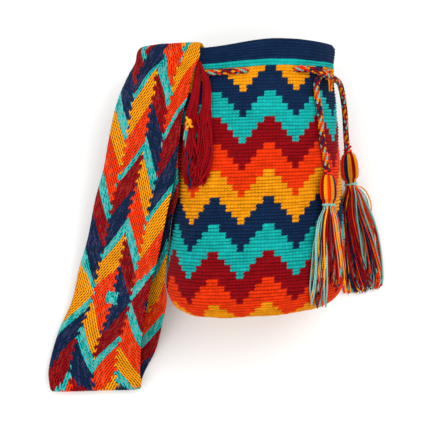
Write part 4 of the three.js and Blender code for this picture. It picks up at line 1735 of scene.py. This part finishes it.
@dataclass
class FrontTassel(Tassel):
    """The tassel that lies on the right of the bag's front.

    Attributes:
        droop: how fast its tips droop past the start of the base's corner.
        droop_y: place along the bag of that start.
    """

    name: str = "tassel_front"
    seed: int = 21
    swing: float = 0.22
    stripes: tuple = (
        Yarn.ORANGE, Yarn.NAVY, Yarn.YELLOW, Yarn.ORANGE, Yarn.YELLOW, Yarn.MAROON, Yarn.ORANGE,
        Yarn.MAROON, Yarn.NAVY,
    )
    stations: tuple = (
        (65.4, 3.6, 7.2, 2, 2), (65.4, 1.5, 7.4, 6, 5.2), (65.8, -8, 7.6, 8.4, 6.6),
        (66.1, -19, 7.4, 7.6, 6), (66.1, -21.5, 6.9, 5.6, 4), (66.1, -23, 6.9, 5.6, 4),
        (66.3, -27.5, 6.9, 5.6, 4), (66.4, -29, 6.9, 5.8, 4.2), (66.8, -40, 6, 10.5, 5),
        (67.4, -58, 5.4, 14, 4.6), (68.4, -80, 5, 16.5, 4.2), (67, -105, 4.6, 17, 3.8),
        (62.5, -117, 4, 11.5, 2.8), (59.5, -125, 3, 8, 2.2),
    )
    droop: float = 0.015
    droop_y: float = -98.0

    def is_pale(self, u: np.ndarray) -> np.ndarray:
        """Which yarns are pale turquoise: most of the long lock's and some at the right edge."""
        chance = self.rng.uniform(0.0, 1.0, len(u))
        return ((u < -0.4) & (u > -0.8) & (chance < 0.6)) | ((u > 0.7) & (chance < 0.35))

    def tips(self, u: np.ndarray, turn: np.ndarray) -> np.ndarray:
        """Station where each yarn ends: one lock is long, and the others end above the base."""
        own = self.rng.uniform(0.0, 1.0, len(u))
        return np.select([u < -0.84, u < -0.52], [10.9 + 0.9 * own, 12.2 + 0.8 * own], 10.2 + 0.8 * own**2)

    def place(self, row: np.ndarray, u: np.ndarray, v: np.ndarray) -> np.ndarray:
        """Point over the bag's front, which droops with the square of the way past a line.

        Args:
            row: place in plan, lift, half width and half thickness.
            u: place across the bundle, from -1 to 1.
            v: place through it, from -1 to 1.

        Returns:
            Points in millimetres.
        """
        x, y, lift, half, thick = np.moveaxis(row, -1, 0)
        point = BAG.over_front(x + half * u, y, lift + thick * v)
        point[..., 2] -= self.droop * np.clip(self.droop_y - y, 0.0, None) ** 2
        return point


@dataclass
class SideTassel(Tassel):
    """The tassel that lies beside the bag.

    Attributes:
        across: direction across the bundle in plan.
        lowest: height of its lowest yarn's middle.
    """

    name: str = "tassel_side"
    seed: int = 31
    stations: tuple = (
        (93.4, 28.8, 39, 2, 2), (93.8, 26, 38, 6.4, 5.2), (95.2, 14, 32.5, 9.5, 7.6),
        (96.7, 3.5, 27.5, 8.4, 6.8), (97.1, 1, 26.3, 5.6, 5.2), (97.3, -1, 25.5, 5.6, 5.2),
        (98, -5.5, 24.2, 5.6, 5.2), (98.2, -7, 23.8, 5.8, 5.4), (99.3, -18, 20.5, 11.5, 7),
        (101.7, -35, 15.5, 16, 7.6), (106.5, -58, 10.5, 18.5, 6.8), (110, -86, 7.6, 19.5, 5.8),
        (112, -110, 6, 18.5, 4.6), (112, -117, 4.6, 16, 3),
    )
    strays: tuple = (
        (
            Yarn.YELLOW,
            ((101, -4, 27), (110, -7, 23), (116, -14, 18), (120, -26, 14), (118, -40, 12), (113, -56, 10)),
        ),
        (
            Yarn.PALE_TURQUOISE,
            ((101, -5, 25), (108, -9, 21), (115, -18, 16), (118, -30, 13), (119, -46, 12), (124, -66, 10)),
        ),
    )
    across: tuple = (1.0, 0.2)
    lowest: float = 0.9

    def place(self, row: np.ndarray, u: np.ndarray, v: np.ndarray) -> np.ndarray:
        """Point beside the bag, across the bundle's own direction in plan.

        Args:
            row: point of the bundle's middle, half width and half thickness.
            u: place across the bundle, from -1 to 1.
            v: place through it, from -1 to 1.

        Returns:
            Points in millimetres.
        """
        x, y, z, half, thick = np.moveaxis(row, -1, 0)
        lean = unit(np.array(self.across))
        across = half * u
        height = np.maximum(z + thick * v, self.lowest)
        return np.stack([x + across * lean[0], y + across * lean[1], height], axis=-1)


@dataclass
class StrapFringe:
    """Warp ends of the strap: a hank of maroon yarns that hangs on the front beside it.

    Attributes:
        material: the yarn's finish.
        count: number of yarns.
        steps: points on a yarn.
        seed: seed of its draws.
        stations: place in plan and half width of the hank.
        strays: yarn, places in plan and lifts of each stray end.
        knot_ends: places in plan and lifts of the knot's strands.
    """

    material: bpy.types.Material
    count: int = 64
    steps: int = 56
    seed: int = 41
    stations: tuple = (
        (-57.8, 112, 0.8), (-57.4, 104, 3.6), (-56, 95, 7), (-56.4, 80, 9.2), (-58.6, 64, 10.6),
        (-59.4, 46, 12), (-60, 18, 12.5), (-62, -2, 9.5), (-63.5, -9, 7),
    )
    strays: tuple = (
        (Yarn.PALE_TURQUOISE, ((-70, 52, 5), (-72.5, 42, 5), (-73.5, 30, 3), (-73, 18, 2))),
        (Yarn.TURQUOISE, ((-69, 50, 6), (-71, 40, 5), (-71.5, 28, 4), (-72, 14, 3))),
        (Yarn.NAVY, ((-70, 26, 5), (-72, 12, 3), (-70, 0, 3), (-67.5, -9, 2))),
        (Yarn.NAVY, ((-66, 20, 5), (-69, 8, 5), (-66, -4, 4), (-68, -10, 2))),
        (Yarn.NAVY, ((-52, 84, 2), (-53, 74, 3), (-55, 66, 3), (-54, 60, 3))),
    )
    knot_ends: tuple = (
        ((-70.5, 59, 9), (-68, 54, 11), (-66, 50, 10), (-64.6, 49.5, 8)),
        ((-71, 52, 8), (-69, 55, 11), (-67, 56, 10), (-66, 53, 8)),
        ((-68, 51, 10), (-69.5, 49, 11), (-70, 47.4, 9), (-69, 47, 8)),
    )

    def paths(self, rng: np.random.Generator) -> np.ndarray:
        """Paths of the hank's yarns: two bundles side by side that tangle towards their ends.

        Args:
            rng: source of the draws.

        Returns:
            Points by yarn and step.
        """
        count, steps = self.count, self.steps
        side = np.linspace(-1.0, 1.0, count)
        side = np.sign(side) * (0.22 + 0.78 * np.abs(side))
        end = 8.0 - rng.uniform(0.0, 2.6, count)
        at = end[:, None] * np.linspace(0.0, 1.0, steps)
        rows = centripetal(np.array(self.stations), at.ravel()).reshape(count, steps, 3)
        x, y, half = np.moveaxis(rows, -1, 0)
        down = np.clip((at - 3.0) / 5.0, 0.0, 1.0)
        pitch = rng.uniform(0.8, 2.6, (count, 1))
        phase = rng.uniform(0.0, 1.0, (count, 1))
        wave = (np.sin(TAU * (pitch * down + phase)) - np.sin(TAU * phase)) * down * 0.5
        lean = rng.normal(0.0, 0.35, (count, 1)) * down
        u = np.clip(side[:, None] + wave + lean, -1.1, 1.1)
        lift = rng.uniform(0.9, 4.6, (count, 1)) + 1.2 * np.sin(TAU * (pitch * 0.6 * down + phase)) * down
        return BAG.over_front(x + half * u, y, np.clip(lift, 0.8, 5.6))

    def build(self) -> list[bpy.types.Object]:
        """Make the hank with its stray ends, and the knot tied on it.

        Returns:
            The hank and the knot.
        """
        rng = np.random.default_rng(self.seed)
        maroon = mixed_yarn(self.count, {Yarn.MAROON: 1.0}, rng)
        made = tubes(self.paths(rng), 0.85, 6, maroon)
        for yarn, places in self.strays:
            made += tubes(strand(places, 24), 0.8, 6, yarn.rgb[None])
        hank = make_object("fringe_yarns", made, self.material, flip=True)
        knotted = []
        for places in self.knot_ends:
            knotted += tubes(strand(places, 16), 1.25, 7, Yarn.YELLOW.rgb[None])
        knot = make_object("fringe_knot", knotted, self.material, flip=True)
        for piece in (hank, knot):
            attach(piece, BODY)
        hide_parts("strap_fringe")
        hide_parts("fringe_tie")
        return [hank, knot]


@dataclass
class LacingEnds:
    """Short yarn ends that stick out where the drawstring crosses itself.

    Attributes:
        material: the yarn's finish.
        ends: yarn, places in plan and lifts of each end.
    """

    material: bpy.types.Material
    ends: tuple = (
        (Yarn.YELLOW, ((66.5, 100, 8), (67.5, 96, 8), (68.2, 91, 5), (68.6, 86, 2))),
        (Yarn.ORANGE, ((67.5, 99, 8), (69.2, 95, 7), (69.8, 91, 4), (69.6, 88, 2))),
        (Yarn.ORANGE, ((49, 105, 6), (45, 106.5, 6), (42, 108, 5), (39.5, 109.5, 2))),
        (Yarn.MAROON, ((49, 105, 5), (44.5, 105, 6), (42.5, 103, 4), (39.5, 104, 2))),
        (Yarn.ORANGE, ((49, 105, 6), (44.5, 105.6, 7), (41.5, 105.8, 5), (38.5, 107, 2))),
    )

    def build(self) -> bpy.types.Object:
        """Make the ends.

        Returns:
            The piece.
        """
        made = []
        for yarn, places in self.ends:
            made += tubes(strand(places, 20), 0.6, 6, yarn.rgb[None])
        piece = make_object("lacing_ends", made, self.material, flip=True)
        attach(piece, BODY)
        return piece


@dataclass
class StrapStitching:
    """Navy yarn that whips one end of the strap to the bag's wall.

    Attributes:
        name: name of the piece.
        node: the CAD node that it stands for.
        left: angle of the strap's first edge, in degrees.
        right: angle of its other edge.
        end_w: share of the wall's height where the strap ends.
        beyond: direction of the wall past that end, 1 towards the rim.
        wall_offset: offset of the yarn on the wall.
        face_offset: offset of the yarn on the strap.
        stitches: number of stitches.
        radius: radius of the yarn.
        feet: where a stitch goes down and comes up, as shares of its width.
        reach: share of the wall from the strap's end to a stitch's foot on the wall, to the
            strap's edge and to its foot on the strap.
        steps: points on the yarn.
    """

    name: str
    node: str
    left: float
    right: float
    end_w: float
    beyond: float
    wall_offset: float
    face_offset: float
    stitches: int = 6
    radius: float = 0.9
    feet: tuple = (0.15, 0.65)
    reach: tuple = (0.019, 0.01, 0.015)
    steps: int = 240

    def path(self) -> np.ndarray:
        """Points of the yarn: from the wall over the edge, slantwise on the strap and back.

        Returns:
            Points in millimetres.
        """
        on_wall, on_edge, on_strap = self.reach
        corners = []
        for i in range(self.stitches):
            down, up = (
                math.radians(self.left + (self.right - self.left) * (i + share) / self.stitches)
                for share in self.feet
            )
            corners.append((down, self.end_w + self.beyond * on_wall, self.wall_offset))
            corners.append((down, self.end_w + self.beyond * on_edge, self.face_offset))
            corners.append((up, self.end_w - self.beyond * on_strap, self.face_offset))
            corners.append((up, self.end_w + self.beyond * on_edge, self.face_offset))
        turn, w, offset = np.array(corners).T
        points = BAG.at(turn, w, 1.0, offset)
        return centripetal(points, np.linspace(0, len(points) - 1, self.steps))

    def build(self, material: bpy.types.Material) -> bpy.types.Object:
        """Make the stitching.

        Args:
            material: the yarn's finish.

        Returns:
            The piece.
        """
        line = self.path()
        side, lift = carried(line)
        sides = 8
        angle = (np.arange(sides) / sides * TAU)[None, :, None]
        radius = np.full((len(line), 1, 1), self.radius)
        radius[0] = radius[-1] = 0.1
        points = line[:, None] + radius * (side[:, None] * np.cos(angle) + lift[:, None] * np.sin(angle))
        length = distance_along(line)
        uv = np.stack(np.meshgrid(np.arange(sides) / sides, length), axis=-1)
        dye = np.broadcast_to(Yarn.NAVY.rgb, (len(line) - 1, sides, 3))
        yarn = Surface(points, dye, np.ones((len(line), sides)), uv, closed=True)
        piece = make_object(self.name, [yarn], material, flip=True)
        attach(piece, BODY)
        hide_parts(self.node)
        return piece


# ---- studio ----


@dataclass(frozen=True)
class Studio:
    """Pale floor, soft lights and the camera straight above. Its sizes are in metres.

    Attributes:
        eye: place of the camera.
        lens_mm: focal length of its lens.
        film_mm: width of its film.
        reach: half the floor's width.
        aim: point that the lights face.
        lights: name, place, size and power of each light.
        sky: strength of the white sky.
    """

    eye: tuple = (-0.043, -0.035, 1.6)
    lens_mm: float = 127.3
    film_mm: float = 36.0
    reach: float = 3.0
    aim: tuple = (-0.04, 0.0, 0.08)
    lights: tuple = (("key", (0.55, 0.75, 1.5), 1.1, 12.0), ("fill", (-0.9, -0.3, 1.3), 1.4, 5.0))
    sky: float = 1.05

    def build(self) -> None:
        """Set up the camera, the floor, the lights and the sky."""
        scene = bpy.context.scene
        camera_data = bpy.data.cameras.new("camera")
        camera_data.lens = self.lens_mm
        camera_data.sensor_width = self.film_mm
        camera = bpy.data.objects.new("camera", camera_data)
        camera.location = self.eye
        scene.collection.objects.link(camera)
        scene.camera = camera
        mesh = bpy.data.meshes.new("floor")
        sides = ((-1, -1), (1, -1), (1, 1), (-1, 1))
        mesh.from_pydata([(x * self.reach, y * self.reach, 0.0) for x, y in sides], [], [(0, 1, 2, 3)])
        mesh.materials.append(PaperFinish().build())
        floor = bpy.data.objects.new("floor", mesh)
        scene.collection.objects.link(floor)
        for light in self.lights:
            self.light(*light)
        world = bpy.data.worlds.new("studio")
        world.use_nodes = True
        background = world.node_tree.nodes["Background"]
        background.inputs["Color"].default_value = (1.0, 1.0, 1.0, 1.0)
        background.inputs["Strength"].default_value = self.sky
        scene.world = world
        scene.view_settings.view_transform = "Standard"

    def light(self, name: str, place: tuple, size: float, watts: float) -> None:
        """Add a square soft light that faces the bag.

        Args:
            name: name of the light.
            place: where it hangs, in metres.
            size: length of its side, in metres.
            watts: its power.
        """
        data = bpy.data.lights.new(name, "AREA")
        data.size = size
        data.energy = watts
        lamp = bpy.data.objects.new(name, data)
        lamp.location = place
        x, y, z = (at - aim for at, aim in zip(place, self.aim))
        lamp.rotation_euler = (math.atan2(math.hypot(x, y), z), 0.0, math.atan2(y, x) + math.pi / 2)
        bpy.context.scene.collection.objects.link(lamp)


def main() -> None:
    logging.basicConfig(level=logging.INFO, format="%(name)s: %(message)s")
    Studio().build()
    loose_yarn = LOOSE_YARN.build()
    cord = DRAWSTRING.build()
    tassels = FrontTassel(loose_yarn).build() + SideTassel(loose_yarn).build()
    log.info("drawstring and tassels made")
    StrapFringe(loose_yarn).build()
    LacingEnds(loose_yarn).build()
    log.info("fringe and yarn ends made")
    bag = CrochetedBag().build()
    log.info("bag made: %d pieces", len(bag))
    band = WovenStrap()
    strap = band.build()
    StrapStitching(
        "stitching_on_flank", "strap_stitching_outer", *band.flank_angles, 0.74, 1.0, 1.4, 7.6
    ).build(loose_yarn)
    StrapStitching(
        "stitching_in_mouth", "strap_stitching_inner", *band.mouth_angles, 0.932, -1.0, -5.9, -12.1
    ).build(loose_yarn)
    log.info("strap made and sewn on")
    line = DRAWSTRING.line(9.0)
    _, along = band.sheet()
    log.info("strap %.0f mm", along[-1])


if __name__ == "__main__":
    main()
